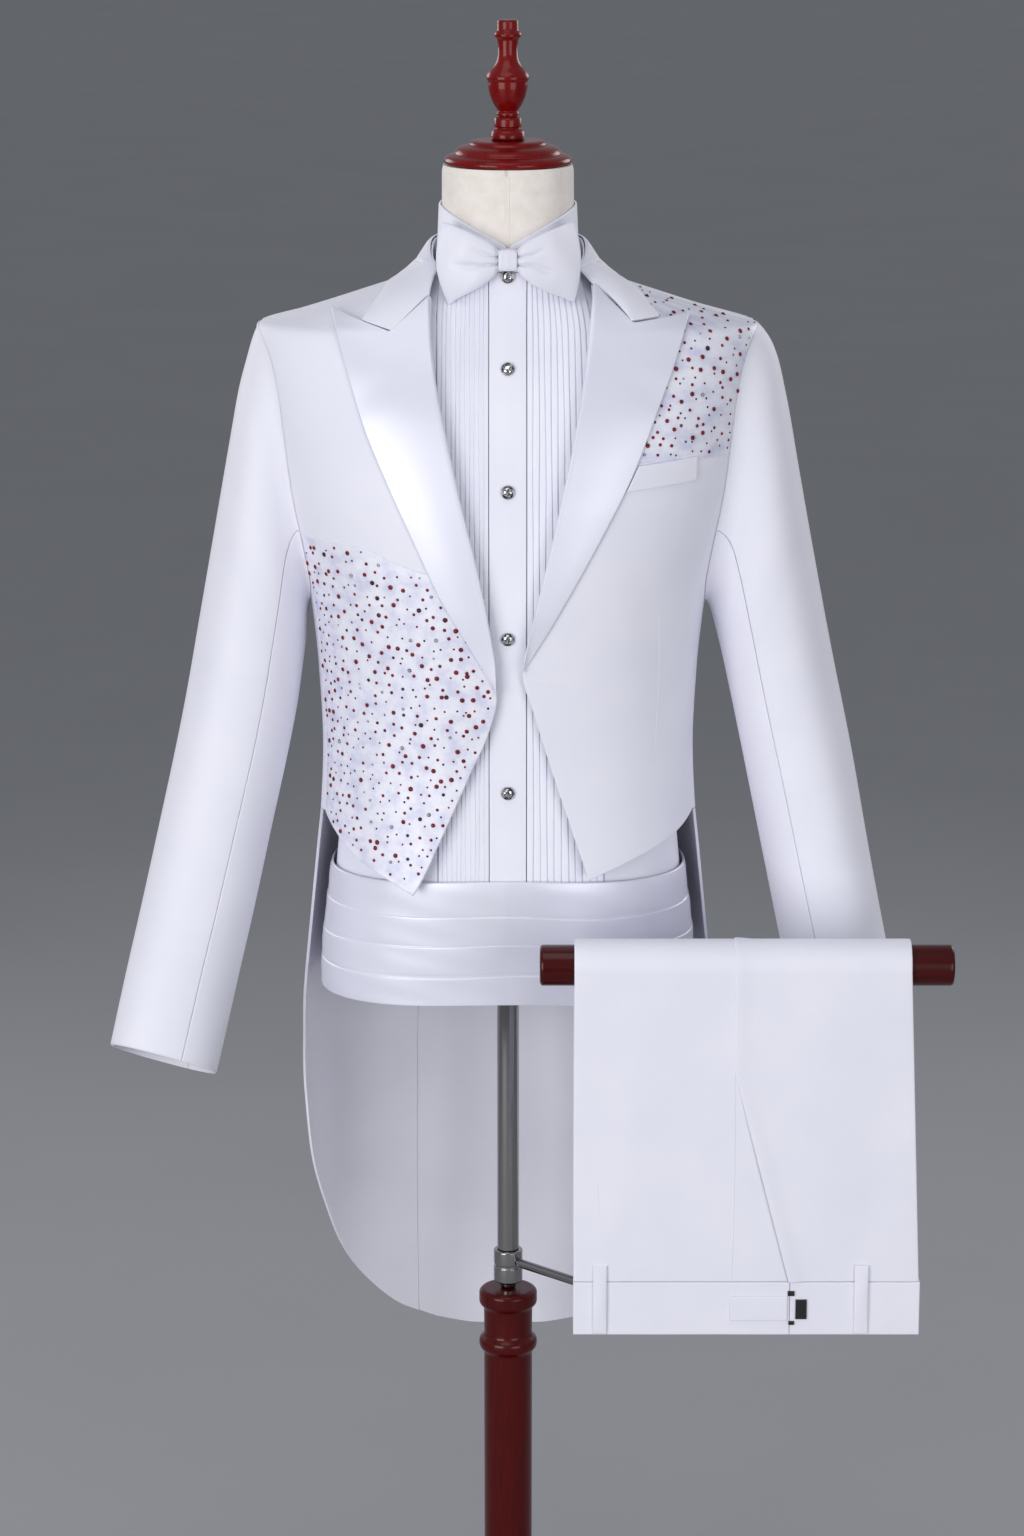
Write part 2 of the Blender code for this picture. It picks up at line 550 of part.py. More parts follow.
def coat_backs():
    """Side bodies, backs cut in one with the middle of the tails, and tail skirts."""
    for side, end in ((-1, "r"), (1, "l")):
        start = domain(coat, HEM_RIGHT)[0] if side < 0 else domain(coat, HEM_LEFT)[-1]
        side_top = arm_height(90 - SIDE_SEAM_DEG)
        front_edge = np.stack([start, spot(side * SIDE_SEAM_DEG, side_top)[0]])
        seam = side_body_edge(side)
        lower = arm_edge(side, ARM_Z - ARM_HALF_Z, side_top, count=10)[::-1]
        rise = arm_edge(side, ARM_Z - ARM_HALF_Z, BACK_ARM_Z, front=False, count=24)
        top = np.concatenate([lower, rise[1:]])
        bottom = np.stack([start, spot(side * 90, HEM_SIDE_Z)[0], seam[0]])
        body_panel(f"coat_side_{end}", coat, (bottom, top, front_edge, seam), SIDE_ROWS, 10,
                   COAT_LIFTS, WHITE)

        corner = degrees_edge(TAIL_BOTTOM[:1], side)[0]
        skirt_seam = corner + (seam[0] - corner) * np.linspace(0, 1, SKIRT_ROWS)[:, None]
        arm = arm_edge(side, BACK_ARM_Z, ARM_TOP, front=False, count=6)
        outer_edge = np.concatenate([skirt_seam, seam[1:], arm[1:]])
        run = np.concatenate([[0], np.cumsum(np.linalg.norm(np.diff(outer_edge, axis=0), axis=1))])
        share = run[:, None] / run[-1]
        foot = degrees_edge(TAIL_BOTTOM[-1:], side)
        centre = foot * (1 - share) + spot(side * 179.93, NECK_BACK_Z) * share
        top = np.concatenate([arm[-1:], spot(side * 90, NECK_Z), centre[-1:]])
        body_panel(f"coat_back_{end}", coat, (degrees_edge(TAIL_BOTTOM, side), top, outer_edge, centre),
                   len(outer_edge), 8, COAT_LIFTS, WHITE)

        edge = degrees_edge(TAIL_EDGE, side)
        top = np.stack([edge[0], spot(side * BACK_SEAM_DEG, HEM_SIDE_Z - 0.0001)[0]])
        free = edge[:TAIL_CORNER][::-1]
        skirt = (edge[TAIL_CORNER - 1:], top, free, skirt_seam - side * np.array([SKIRT_SHIFT, 0]))
        body_panel(f"tail_skirt_{end}", coat, skirt, SKIRT_ROWS, 7, COAT_LIFTS, WHITE)


def lapel(name, table, notch, cols=6, rows=13):
    """A satin lapel: rows run from the break to the peak, columns from the roll to the edge."""
    table = np.array(table, float)
    at = np.linspace(0, 1, len(table))
    v = np.linspace(0, 1, rows)
    roll = np.stack([smooth_value(at, table[:, i], v) for i in (0, 1)], -1)
    edge = np.stack([smooth_value(at, table[:, i], v) for i in (2, 3)], -1)
    c = np.linspace(0, 1, cols)
    c = np.sort(np.append(c[1:-1], [0, 1]))
    place = roll[:, None] + (edge - roll)[:, None] * c[None, :, None]
    share, drop = notch
    dip = np.where(c < share, c / share, (1 - c) / (1 - share))
    near = np.clip((v - 1 + NOTCH_REACH) / NOTCH_REACH, 0, 1) ** 1.5
    place[..., 1] -= drop * near[:, None] * dip[None]
    place *= MM
    angle = coat.angle_at(place[..., 0], place[..., 1])
    grid = drawn_in(np.stack([angle * DOMAIN_RADIUS, place[..., 1]], -1), SEAM)
    rise = TRIM_GAP + ROLL_RISE * (1 - c[None]) ** 3 + PEAK_RISE * c[None] * v[:, None] ** 6
    outer = coat.lifted(grid[..., 0] / DOMAIN_RADIUS, grid[..., 1], rise + LAPEL_WALL)
    inner = coat.lifted(grid[..., 0] / DOMAIN_RADIUS, grid[..., 1], rise + 0 * grid[..., 0])
    wall(name, outer, inner, SATIN, roughness=0.35)


def collar_fall(cols=5, rows=27):
    """The collar's fall, from one front end round the back to the other."""
    right = np.array(FALL_RIGHT, float)
    left = np.array(FALL_LEFT, float)[::-1][1:].copy()
    right[:, (0, 2, 5)] *= -1
    left[:, (0, 2, 5)] -= 360
    table = np.concatenate([right, left])
    at = np.linspace(0, 1, len(table))
    v = np.linspace(0, 1, rows)
    rows_of = [smooth_value(at, column, v)[:, None] for column in table.T]
    c = np.linspace(0, 1, cols)[None]
    first, middle, last = (1 - c) * (1 - 2 * c), 4 * c * (1 - c), c * (2 * c - 1)
    straight = np.abs(np.linspace(-1, 1, rows))[:, None] ** 8
    fold = (np.clip(1 - 2 * c, 0, 1), 1 - np.abs(1 - 2 * c), np.clip(2 * c - 1, 0, 1))
    weights = [straight * f + (1 - straight) * s for f, s in zip(fold, (first, middle, last))]
    angle = np.radians(sum(w * rows_of[i] for w, i in zip(weights, (0, 2, 5))))
    z = MM * sum(w * rows_of[i] for w, i in zip(weights, (1, 3, 6)))
    lift = weights[0] * FALL_LIFT + weights[1] * rows_of[4] * MM + weights[2] * FALL_EDGE_LIFT
    grid = drawn_in(np.stack([angle * DOMAIN_RADIUS, z], -1), SEAM)
    outer = coat.lifted(grid[..., 0] / DOMAIN_RADIUS, grid[..., 1], lift + FALL_WALL)
    inner = coat.lifted(grid[..., 0] / DOMAIN_RADIUS, grid[..., 1], lift)
    wall("coat_collar", outer, inner, WHITE)


def collar_stand(rows=3, cols=23):
    """The collar's stand, inside the fold and over the neck seam."""
    angle = np.radians(np.linspace(-66, -294, cols))[None]
    fall = np.array(FALL_RIGHT, float)
    off = np.degrees(np.abs(angle))
    off = np.where(off > 180, 360 - off, off)
    top = smooth_value(fall[:, 0], fall[:, 1], off) * MM - 1.2 * MM
    v = np.linspace(0, 1, rows)[:, None]
    z = (NECK_BACK_Z + 0.6 * MM) * (1 - v) + top * v
    outer = coat.lifted(angle, z, 0.6 * MM)
    inner = coat.lifted(angle, z, -1.0 * MM)
    wall("coat_collar_stand", outer, inner, WHITE)


def sleeve_grid(side, turn, inset):
    """Sleeve places for a turn from the top forward, ring by ring; the inset is the wall's depth."""
    out_line = np.array(SLEEVE_OUT_RIGHT if side < 0 else SLEEVE_OUT_LEFT, float) * MM
    in_line = np.array(SLEEVE_IN_RIGHT if side < 0 else SLEEVE_IN_LEFT, float) * MM
    rings = np.array(SLEEVE_RINGS, float)
    out_z, in_z, mid_y, half = (rings[:, i][:, None] * MM for i in range(4))
    share = rings[:, 4][:, None]
    out_x = smooth_value(out_line[:, 0], out_line[:, 1], out_z)
    in_x = smooth_value(in_line[:, 0], in_line[:, 1], in_z)
    reach = (np.abs(np.cos(turn)) ** SLEEVE_POWER + np.abs(np.sin(turn)) ** SLEEVE_POWER)
    reach = reach ** (-1 / SLEEVE_POWER)
    across = np.hypot(out_x - in_x, out_z - in_z) / 2
    lean = 1 - inset / across
    x = (out_x + in_x) / 2 + (out_x - in_x) / 2 * lean * np.cos(turn) * reach
    z = (out_z + in_z) / 2 + (out_z - in_z) / 2 * lean * np.cos(turn) * reach
    y = mid_y - (half - inset) * np.sin(turn) * reach
    z = z + np.array(CUFF_TILT_SHARES)[:, None] * CUFF_TILT * (mid_y - y)
    tube = np.stack([side * x, y, z], -1)
    offset, height = oval(turn, ARM_Z, ARM_HALF_Z, ARM_HALF_DEG, SLEEVE_HEAD + 0.5 * MM - inset)
    hole = coat.lifted(side * (math.pi / 2 - offset), height, HEAD_GAP)
    return hole[None] * (1 - share[..., None]) + tube * share[..., None]


def sleeves():
    """Top and under sleeves, joined along two seams each."""
    seam = math.radians(SLEEVE_SEAM_DEG)
    gap = math.radians(ARM_SEAM_DEG)
    for side, end in ((-1, "r"), (1, "l")):
        for name, low, high, cols in (
            ("sleeve_top", -seam + gap, seam - gap, 12),
            ("sleeve_under", seam + gap, 2 * math.pi - seam - gap, 7),
        ):
            turn = np.linspace(low, high, cols)
            outer = sleeve_grid(side, turn, 0.0)
            inner = sleeve_grid(side, turn, SLEEVE_WALL)
            wall(f"{name}_{end}", outer, inner, WHITE)


def pocket_welt():
    """The slanted breast pocket welt."""
    low = domain(coat, ((102.5, 1301.2), (164.6, 1306.8)))
    high = domain(coat, ((113.6, 1323.5), (165.3, 1328.0)))
    edges = (low, high, np.stack([low[0], high[0]]), np.stack([low[1], high[1]]))
    body_panel("breast_pocket_welt", coat, edges, 3, 6, (TRIM_GAP + 1.8 * MM, TRIM_GAP), WHITE)


SHIRT_ARM = (SHIRT_ARM_Z, SHIRT_ARM_HALF_Z, SHIRT_ARM_HALF_DEG)
SHIRT_LIFTS = (SHIRT_LIFT + SHIRT_WALL, SHIRT_LIFT)
SHIRT_POWER = 1.5


def bib_edge(side, z):
    """Distance of a bib's outer edge from the middle, at a height."""
    table = np.array(BIB_OUT, float) * MM
    return smooth_value(table[:, 0], table[:, 1 if side < 0 else 2], z)


def shirt():
    """Pleated bibs, outer fronts, placket, back and stand collar."""
    arm_top = SHIRT_ARM_Z + SHIRT_ARM_HALF_Z
    arm_low = SHIRT_ARM_Z - SHIRT_ARM_HALF_Z
    for side, end in ((-1, "r"), (1, "l")):
        z = SHIRT_BOTTOM + (SHIRT_NECK_Z - SHIRT_BOTTOM) * crowded(BIB_ROWS, SHIRT_POWER)[:, None]
        steps = np.arange(PLEATS)
        share = np.sort(np.concatenate([steps, steps + PLEAT_SHARE, [PLEATS]])) / PLEATS
        x = BIB_IN + (bib_edge(side, z) - BIB_IN) * share[None]
        rise = np.tile([0.0, 1.0], PLEATS + 1)[:len(share)] * PLEAT_RISE
        z = z + 0 * x
        angle = form.angle_at(side * x, z)
        outer = form.lifted(angle, z, SHIRT_LIFT + SHIRT_WALL + rise[None] + 0 * z)
        inner = form.lifted(angle, z, SHIRT_LIFT)
        wall(f"shirt_bib_{end}", outer, inner, WHITE)

        line = np.stack([side * (bib_edge(side, z[:, 0]) + SEAM / 2), z[:, 0]], -1) / MM
        inner_edge = domain(form, line)
        arm = arm_edge(side, arm_low, arm_top, shape=SHIRT_ARM)
        outer_edge = np.concatenate([spot(side * 90, SHIRT_BOTTOM), arm])
        bottom = np.concatenate([outer_edge[:1], inner_edge[:1]])
        top = np.concatenate([arm[-1:], spot(side * 90, SHIRT_NECK_Z), inner_edge[-1:]])
        body_panel(f"shirt_front_{end}", form, (bottom, top, outer_edge, inner_edge), BIB_ROWS, 7,
                   SHIRT_LIFTS, WHITE, SHIRT_POWER)

    right_arm = arm_edge(-1, arm_low, arm_top, front=False, shape=SHIRT_ARM)
    left_arm = right_arm.copy()
    left_arm[:, 0] = -2 * math.pi * DOMAIN_RADIUS - right_arm[:, 0]
    right = np.concatenate([spot(-90, SHIRT_BOTTOM), right_arm])
    left = np.concatenate([spot(-270, SHIRT_BOTTOM), left_arm])
    neck = np.concatenate([spot(-90, SHIRT_NECK_Z), spot(-270, SHIRT_NECK_Z)])
    top = np.concatenate([right_arm[-1:], neck, left_arm[-1:]])
    body_panel("shirt_back", form, (np.stack([right[0], left[0]]), top, right, left), 10, 13,
               SHIRT_LIFTS, WHITE, SHIRT_POWER)

    v = crowded(15, SHIRT_POWER)[:, None]
    x = np.linspace(-PLACKET_HALF, PLACKET_HALF, 3)[None]
    z = SHIRT_BOTTOM * (1 - v) + SHIRT_NECK_Z * v + 0 * x
    angle = form.angle_at(x + 0 * z, z)
    outer = form.lifted(angle, z, SHIRT_LIFT + SHIRT_WALL + PLACKET_LIFT)
    wall("shirt_placket", outer, form.lifted(angle, z, SHIRT_LIFT), WHITE)

    angle = np.radians(np.linspace(COLLAR_OPEN_DEG, 360 - COLLAR_OPEN_DEG, 31))[None]
    front = np.clip(np.cos(angle), 0, 1)
    across = np.abs(form.point(angle, 0 * angle + 1.52)[..., 0]) / (58.5 * MM)
    top = np.where(front > 0, COLLAR_FRONT_Z + (COLLAR_SIDE_Z - COLLAR_FRONT_Z) * across,
                   COLLAR_SIDE_Z + (COLLAR_BACK_Z - COLLAR_SIDE_Z) * np.abs(np.cos(angle)))
    v = np.linspace(0, 1, 3)[:, None]
    z = COLLAR_FOOT_Z * (1 - v) + top * v
    outer = form.lifted(angle, z, COLLAR_LIFT + 1.8 * MM)
    wall("shirt_collar", outer, form.lifted(angle, z, COLLAR_LIFT), WHITE)


def studs():
    """Five faceted studs on the placket."""
    for index, (height, gap) in enumerate(STUDS):
        z = height * MM
        place = form.lifted(0.0, z, SHIRT_LIFT + SHIRT_WALL + PLACKET_LIFT + gap * MM)
        along = form.point(0.0, z + 1e-3) - form.point(0.0, z - 1e-3)
        lean = math.atan2(along[1], along[2])
        rings = []
        for radius, depth in ((0.84, 0.0), (1.0, 0.4), (0.6, 1.0)):
            turn = np.linspace(0, 2 * math.pi, 12, endpoint=False)
            local = np.stack([radius * STUD_RADIUS * np.cos(turn), 0 * turn - depth * STUD_DEPTH,
                              radius * STUD_RADIUS * np.sin(turn)], -1)
            y = local[:, 1] * math.cos(lean) + local[:, 2] * math.sin(lean)
            up = local[:, 2] * math.cos(lean) - local[:, 1] * math.sin(lean)
            rings.append(np.stack([local[:, 0], y, up], -1) + place)
        loft(f"shirt_stud_{index + 1}", rings, CHROME, 0.1)


def cummerbund():
    """A satin band with four upturned folds, closed all round."""
    angle = np.linspace(0, 2 * math.pi, 26, endpoint=False)[None]
    marks = np.array(FOLD_Z)
    heights, lifts = [], []
    for low, high in zip(marks[:-1], marks[1:]):
        heights += [low + 0.4, high - 1.2]
        lifts += [FOLD_LOW, FOLD_HIGH]
    heights, lifts = np.array(heights)[:, None], np.array(lifts)[:, None]
    z = (heights - FOLD_SIDE_DROP * np.sin(angle) ** 2) * MM
    z = np.maximum(z, 0.8)
    outer = band_point(angle, z, lifts + 0 * z)
    inner = band_point(angle, z, BAND_INNER + 0 * z)
    wall("cummerbund", outer, inner, SATIN, closed=True, roughness=0.35)


def band_point(angle, z, lift):
    """Places round the hips, where the band may reach below the form."""
    low = form.z[0] + 0.3 * MM
    placed = form.lifted(angle, np.maximum(z, low), lift)
    placed[..., 2] += np.minimum(z - low, 0)
    return placed


def bow_tie():
    """Two soft loops and a knot."""
    for side, end in ((-1, "r"), (1, "l")):
        rings = []
        for x, mid, half, thick, y in LOOP_SECTIONS:
            turn = np.linspace(0, 2 * math.pi, 14, endpoint=False)
            square = (np.abs(np.cos(turn)) ** 3 + np.abs(np.sin(turn)) ** 3) ** (-1 / 3)
            rings.append(np.stack([
                0 * turn + side * x * MM, (y + thick * np.sin(turn) * square) * MM,
                (mid + half * np.cos(turn) * square) * MM,
            ], -1))
        loft(f"bow_loop_{end}", rings, SATIN, 0.35)
    bpy.ops.mesh.primitive_cube_add(size=1, location=KNOT_PLACE)
    knot = bpy.context.object
    knot.name = "bow_knot"
    knot.scale = KNOT_SIZE
    bpy.ops.object.transform_apply(location=False, rotation=False, scale=True)
    bevel = knot.modifiers.new("Bevel", "BEVEL")
    bevel.width = 4 * MM
    bevel.segments = 2
    gather(knot)
    finish(knot, SATIN, 0.35)


def gather(obj):
    """Moves an object made by an operator to the collection."""
    for owner in list(obj.users_collection):
        owner.objects.unlink(obj)
    bpy.data.collections[COLLECTION].objects.link(obj)


def left_side(z):
    """The left side edge's x at a height."""
    return TROUSER_X[1] + TROUSER_FLARE * np.clip((BAR_Z - z) / (BAR_Z - WAIST_END_Z), 0, 1)


def over_bar(run, lift):
    """Places on a sheet over the bar: run is height in front, then round, then height behind.

    Run below 0 is the distance down in front, 0 to 1 the turn over the bar, above 1 the distance
    down behind plus one.
    """
    run, lift = np.broadcast_arrays(run, lift)
    radius = BAR_RADIUS + lift
    turn = np.clip(run, 0, 1) * math.pi
    y = BAR_Y - radius * np.cos(turn)
    z = BAR_Z + radius * np.sin(turn) + np.minimum(run, 0) - np.maximum(run - 1, 0)
    return y, z


def bar_runs(front_z, back_z, front_rows, turn_rows, back_rows):
    """Row values from the front end over the bar to the end behind."""
    return np.concatenate([
        np.linspace(front_z - BAR_Z, 0, front_rows)[:-1], np.linspace(0, 1, turn_rows),
        np.linspace(1, 1 + BAR_Z - back_z, back_rows)[1:],
    ])


def side_curl(x, low, high, depth):
    """How far a sheet's side edges turn toward its partner."""
    near = np.minimum(np.abs(x - low), np.abs(x - high))
    return depth * np.clip(1 - near / (4 * MM), 0, 1) ** 2


def cloth_over_bar(name, low, high, runs, cols, lift, thick, spread, curl):
    """A sheet over the bar whose sides are given by functions of height in front."""
    u = np.linspace(0, 1, cols)
    u = np.sort(np.concatenate([u[1:-1], [0, 0.012, 0.988, 1]]))[None]
    front = np.where(runs < 0, BAR_Z + runs, BAR_Z)[:, None]
    start, end = low(front), high(front)
    x = start + (end - start) * u
    rise = lift + spread(front) + side_curl(x, start, end, curl)
    faces = []
    for level in (rise + thick, rise):
        y, z = over_bar(runs[:, None] + 0 * x, level)
        faces.append(np.stack([x, y, z], -1))
    wall(name, *faces, WHITE)


def trousers():
    """Fronts and backs over the bar, the legs folded under them, and the waistbands."""
    half = SEAM / 2
    runs = bar_runs(WAIST_SEAM_Z + half, LEG_FOLD_Z, 6, 7, 4)

    def fly(z):
        share = np.clip((CROTCH_Z - z) / (CROTCH_Z - WAIST_SEAM_Z), 0, 1)
        return TROUSER_MID + (FLY_X - TROUSER_MID) * share

    def flat(z):
        return 0 * z

    sides = (
        ("r", lambda z: TROUSER_X[0] + 0 * z, lambda z: TROUSER_MID - half + 0 * z),
        ("l", lambda z: TROUSER_MID + half + 0 * z, left_side),
    )
    for end, low, high in sides:
        front_low = low if end == "r" else (lambda z: fly(z) + half)
        front_high = (lambda z: fly(z) - half) if end == "r" else high
        cloth_over_bar(f"trouser_front_{end}", front_low, front_high, runs, 5, FRONT_LIFT, LEG_WALL,
                       flat, -0.4 * MM)
        leg_low = lambda z, low=low: low(z) + 3 * MM
        leg_high = lambda z, high=high: high(z) - 3 * MM
        leg_runs = bar_runs(LEG_END_Z, LEG_FOLD_Z + 4 * MM, 3, 7, 3)
        cloth_over_bar(f"trouser_leg_{end}", leg_low, leg_high, leg_runs, 2, LEG_LIFT, LEG_THICK, flat, 0)
    for end, low, high in sides:
        trouser_back(f"trouser_back_{end}", low, high)
    waistband()


def trouser_back(name, low, high):
    """A back panel: under the front over the bar, and away from it at the waist."""
    runs = bar_runs(WAIST_SEAM_Z + SEAM / 2, LEG_FOLD_Z, 6, 7, 4)[:, None]
    u = np.sort(np.concatenate([np.linspace(0, 1, 5)[1:-1], [0, 0.012, 0.988, 1]]))[None]
    front = np.where(runs < 0, BAR_Z + runs, BAR_Z)
    start, end = low(front), high(front)
    x = start + (end - start) * u
    away = WAIST_HOLLOW * np.clip((BAR_Z - 60 * MM - front) / (BAR_Z - 60 * MM - WAIST_SEAM_Z), 0, 1) ** 2
    away = away * (1 - side_curl(x, TROUSER_X[0], left_side(front), 1.0))
    faces = []
    for level in (BACK_LIFT + LEG_WALL, BACK_LIFT):
        y, z = over_bar(runs + 0 * x, level + 0 * x)
        faces.append(np.stack([x, y + away, z], -1))
    wall(name, *faces, WHITE)


def slab(name, low, high, colour, bevel_width=0.0, roughness=0.8):
    """A box between two corners, with small bevels when asked."""
    low, high = np.array(low), np.array(high)
    bpy.ops.mesh.primitive_cube_add(size=1, location=(low + high) / 2)
    obj = bpy.context.object
    obj.name = name
    obj.scale = high - low
    bpy.ops.object.transform_apply(location=False, rotation=False, scale=True)
    if bevel_width:
        bevel = obj.modifiers.new("Bevel", "BEVEL")
        bevel.width = bevel_width
        bevel.segments = 1
    gather(obj)
    finish(obj, colour, roughness)
    return obj


def waistband():
    """Front bands, the back band, belt loops, the fly tab and the hook with its eye."""
    face = BAR_Y - BAR_RADIUS - FRONT_LIFT - LEG_WALL
    top = WAIST_SEAM_Z - SEAM / 2
    band = 1.6 * MM
    low, left = WAIST_END_Z, left_side((WAIST_END_Z + WAIST_SEAM_Z) / 2)
    front = face - 0.2 * MM, face + band
    slab("waistband_front_r", (TROUSER_X[0], front[0], low), (FLY_X - SEAM / 2, front[1], top), WHITE,
         0.5 * MM)
    slab("waistband_front_l", (FLY_X + SEAM / 2, front[0], low), (left, front[1], top), WHITE, 0.5 * MM)
    back = BAR_Y - BAR_RADIUS - BACK_LIFT + WAIST_HOLLOW
    slab("waistband_back", (TROUSER_X[0], back - band, low), (left, back, top), WHITE, 0.5 * MM)
    for side, x in (("r", TROUSER_X[0]), ("l", left - 1.6 * MM)):
        slab(f"waistband_end_{side}", (x, front[1] + 0.3 * MM, low),
             (x + 1.6 * MM, back - band - 0.3 * MM, top), WHITE)
    proud = face - 0.5 * MM
    for end, x in (("r", 81.4 * MM), ("l", 312.6 * MM)):
        slab(f"belt_loop_{end}", (x - 6.2 * MM, proud - 1.6 * MM, low + 1.5 * MM),
             (x + 6.2 * MM, proud, WAIST_SEAM_Z + 16 * MM), WHITE, 0.5 * MM)
    slab("waist_tab", (196.6 * MM, proud - 1.2 * MM, 575.5 * MM), (247.4 * MM, proud, 598.5 * MM), WHITE,
         0.4 * MM)
    slab("waist_hook", (254.6 * MM, proud - 1.2 * MM, 577.0 * MM), (264.6 * MM, proud, 595.5 * MM), BLACK,
         0.3 * MM, 0.3)


def dress_form():
    """The limbless torso, from the hips to the top of the neck."""
    heights = np.array(FORM_SECTIONS) * MM
    angle = np.linspace(0, 2 * math.pi, FORM_SIDES, endpoint=False)
    rings = []
    for z in heights:
        under = smooth_value(*(np.array(FORM_UNDER, float).T * MM), z)
        rings.append(form.lifted(angle, np.full(FORM_SIDES, z), -under))
    loft("dress_form", rings, LINEN)


def stand():
    """Cap, finial, pole, clamp, rod, bar, column and base."""
    turned("neck_cap", CAP, 24, WOOD)
    turned("finial", FINIAL, 14, WOOD)
    clamp_low, clamp_high = (z / MM for z in CLAMP_Z)
    radius = POLE_RADIUS / MM
    pole_low, pole_high = clamp_high + 0.3, POLE_TOP / MM
    turned("pole", ((0, pole_high), (radius, pole_high), (radius, pole_low), (0, pole_low)), 20, CHROME, 0.15, 1.0)
    turned("pole_clamp", (
        (0, clamp_high), (12.4, clamp_high), (13.6, clamp_high - 1.2), (13.6, clamp_low + 1.2),
        (12.4, clamp_low),
        (7.8, clamp_low - 0.1), (7.8, 521.9), (0, 521.9),
    ), 16, CHROME, 0.15, 1.0)
    turned("column", COLUMN, 16, WOOD)
    turned("base", BASE, 32, WOOD)
    half = (BAR_X[1] - BAR_X[0]) / 2 / MM
    bar = turned("trouser_bar", (
        (0, half), (15.5, half), (18.0, half - 2.5), (18.0, -half + 2.5), (15.5, -half), (0, -half),
    ), 24, WOOD)
    bar.rotation_euler = (0, math.pi / 2, 0)
    bar.location = ((BAR_X[0] + BAR_X[1]) / 2, BAR_Y, BAR_Z)
    path = bpy.data.curves.new("bar_arm", "CURVE")
    path.dimensions = "3D"
    path.bevel_depth = ROD_RADIUS
    path.bevel_resolution = 2
    path.use_fill_caps = True
    line = path.splines.new("POLY")
    line.points.add(len(ROD_PATH) - 1)
    for point, place in zip(line.points, ROD_PATH):
        point.co = (*(value * MM for value in place), 1)
    arm = bpy.data.objects.new("bar_arm", path)
    bpy.data.collections[COLLECTION].objects.link(arm)
    finish(arm, CHROME, 0.15, 1.0)


def main():
    clear_scene()
    holder = bpy.data.collections.new(COLLECTION)
    bpy.context.scene.collection.children.link(holder)
    dress_form()
    shirt()
    studs()
    cummerbund()
    bow_tie()
    coat_fronts()
    coat_backs()
    lapel("lapel_r", LAPEL_RIGHT, NOTCH_RIGHT)
    lapel("lapel_l", LAPEL_LEFT, NOTCH_LEFT)
    collar_fall()
    collar_stand()
    sleeves()
    pocket_welt()
    trousers()
    stand()


main()
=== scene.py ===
"""Dresses the embellished tailcoat suit on its dress form, with the trousers over the stand's bar.

Metres, in the model's own frame: +Z is up, +X is the picture's right and -Y is the front.
"""

import logging
import math
from dataclasses import dataclass, field
from enum import Enum
from typing import Callable, Iterator, Optional, Sequence

import bpy
import numpy as np
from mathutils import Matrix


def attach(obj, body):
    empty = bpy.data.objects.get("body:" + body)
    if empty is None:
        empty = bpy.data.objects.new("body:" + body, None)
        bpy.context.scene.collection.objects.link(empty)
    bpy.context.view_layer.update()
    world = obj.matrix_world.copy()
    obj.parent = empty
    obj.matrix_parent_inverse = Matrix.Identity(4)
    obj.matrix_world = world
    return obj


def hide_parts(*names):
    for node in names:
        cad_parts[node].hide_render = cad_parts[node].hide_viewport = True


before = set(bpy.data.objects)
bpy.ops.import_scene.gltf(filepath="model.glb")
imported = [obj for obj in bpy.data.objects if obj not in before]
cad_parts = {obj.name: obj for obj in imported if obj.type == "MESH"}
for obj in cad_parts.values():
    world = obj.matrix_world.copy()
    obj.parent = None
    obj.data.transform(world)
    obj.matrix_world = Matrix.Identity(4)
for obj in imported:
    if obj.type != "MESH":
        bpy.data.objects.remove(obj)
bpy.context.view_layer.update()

LOG = logging.getLogger("tuxedo")
MM = 0.001
SEAM = 0.0004
SQUARENESS = 2.3
DOMAIN_RADIUS = 0.15
EDGE_ROUND = 0.0007
SHARP_DEGREES = 50
# Half the span over which a surface's normal is measured, in metres and radians.
TINY = 2e-4
# The least share of width by length that a sheet's logged area is given as.
LEAST_SHARE = 0.3
# The share of a stitch's pitch that is thread.
THREAD_SHARE = 0.66
# Metres to a radian round a sleeve.
SLEEVE_RADIUS = 0.058
STEP = 0.005
Grid = np.ndarray


# Shader building.


class Shade:
    """A shader socket whose operators add Math nodes."""

    def __init__(self, graph: "Graph", socket: bpy.types.NodeSocket) -> None:
        """Keeps the socket.

        Args:
            graph: the node graph that the socket is in.
            socket: an output socket.
        """
        self.graph = graph
        self.socket = socket

    def __add__(self, other: object) -> "Shade":
        """Sum."""
        return self.graph.maths("ADD", self, other)

    __radd__ = __add__

    def __sub__(self, other: object) -> "Shade":
        """Difference."""
        return self.graph.maths("SUBTRACT", self, other)

    def __rsub__(self, other: object) -> "Shade":
        """Reflected difference."""
        return self.graph.maths("SUBTRACT", other, self)

    def __mul__(self, other: object) -> "Shade":
        """Product."""
        return self.graph.maths("MULTIPLY", self, other)

    __rmul__ = __mul__

    def sine(self) -> "Shade":
        """Sine of the value."""
        return self.graph.maths("SINE", self)


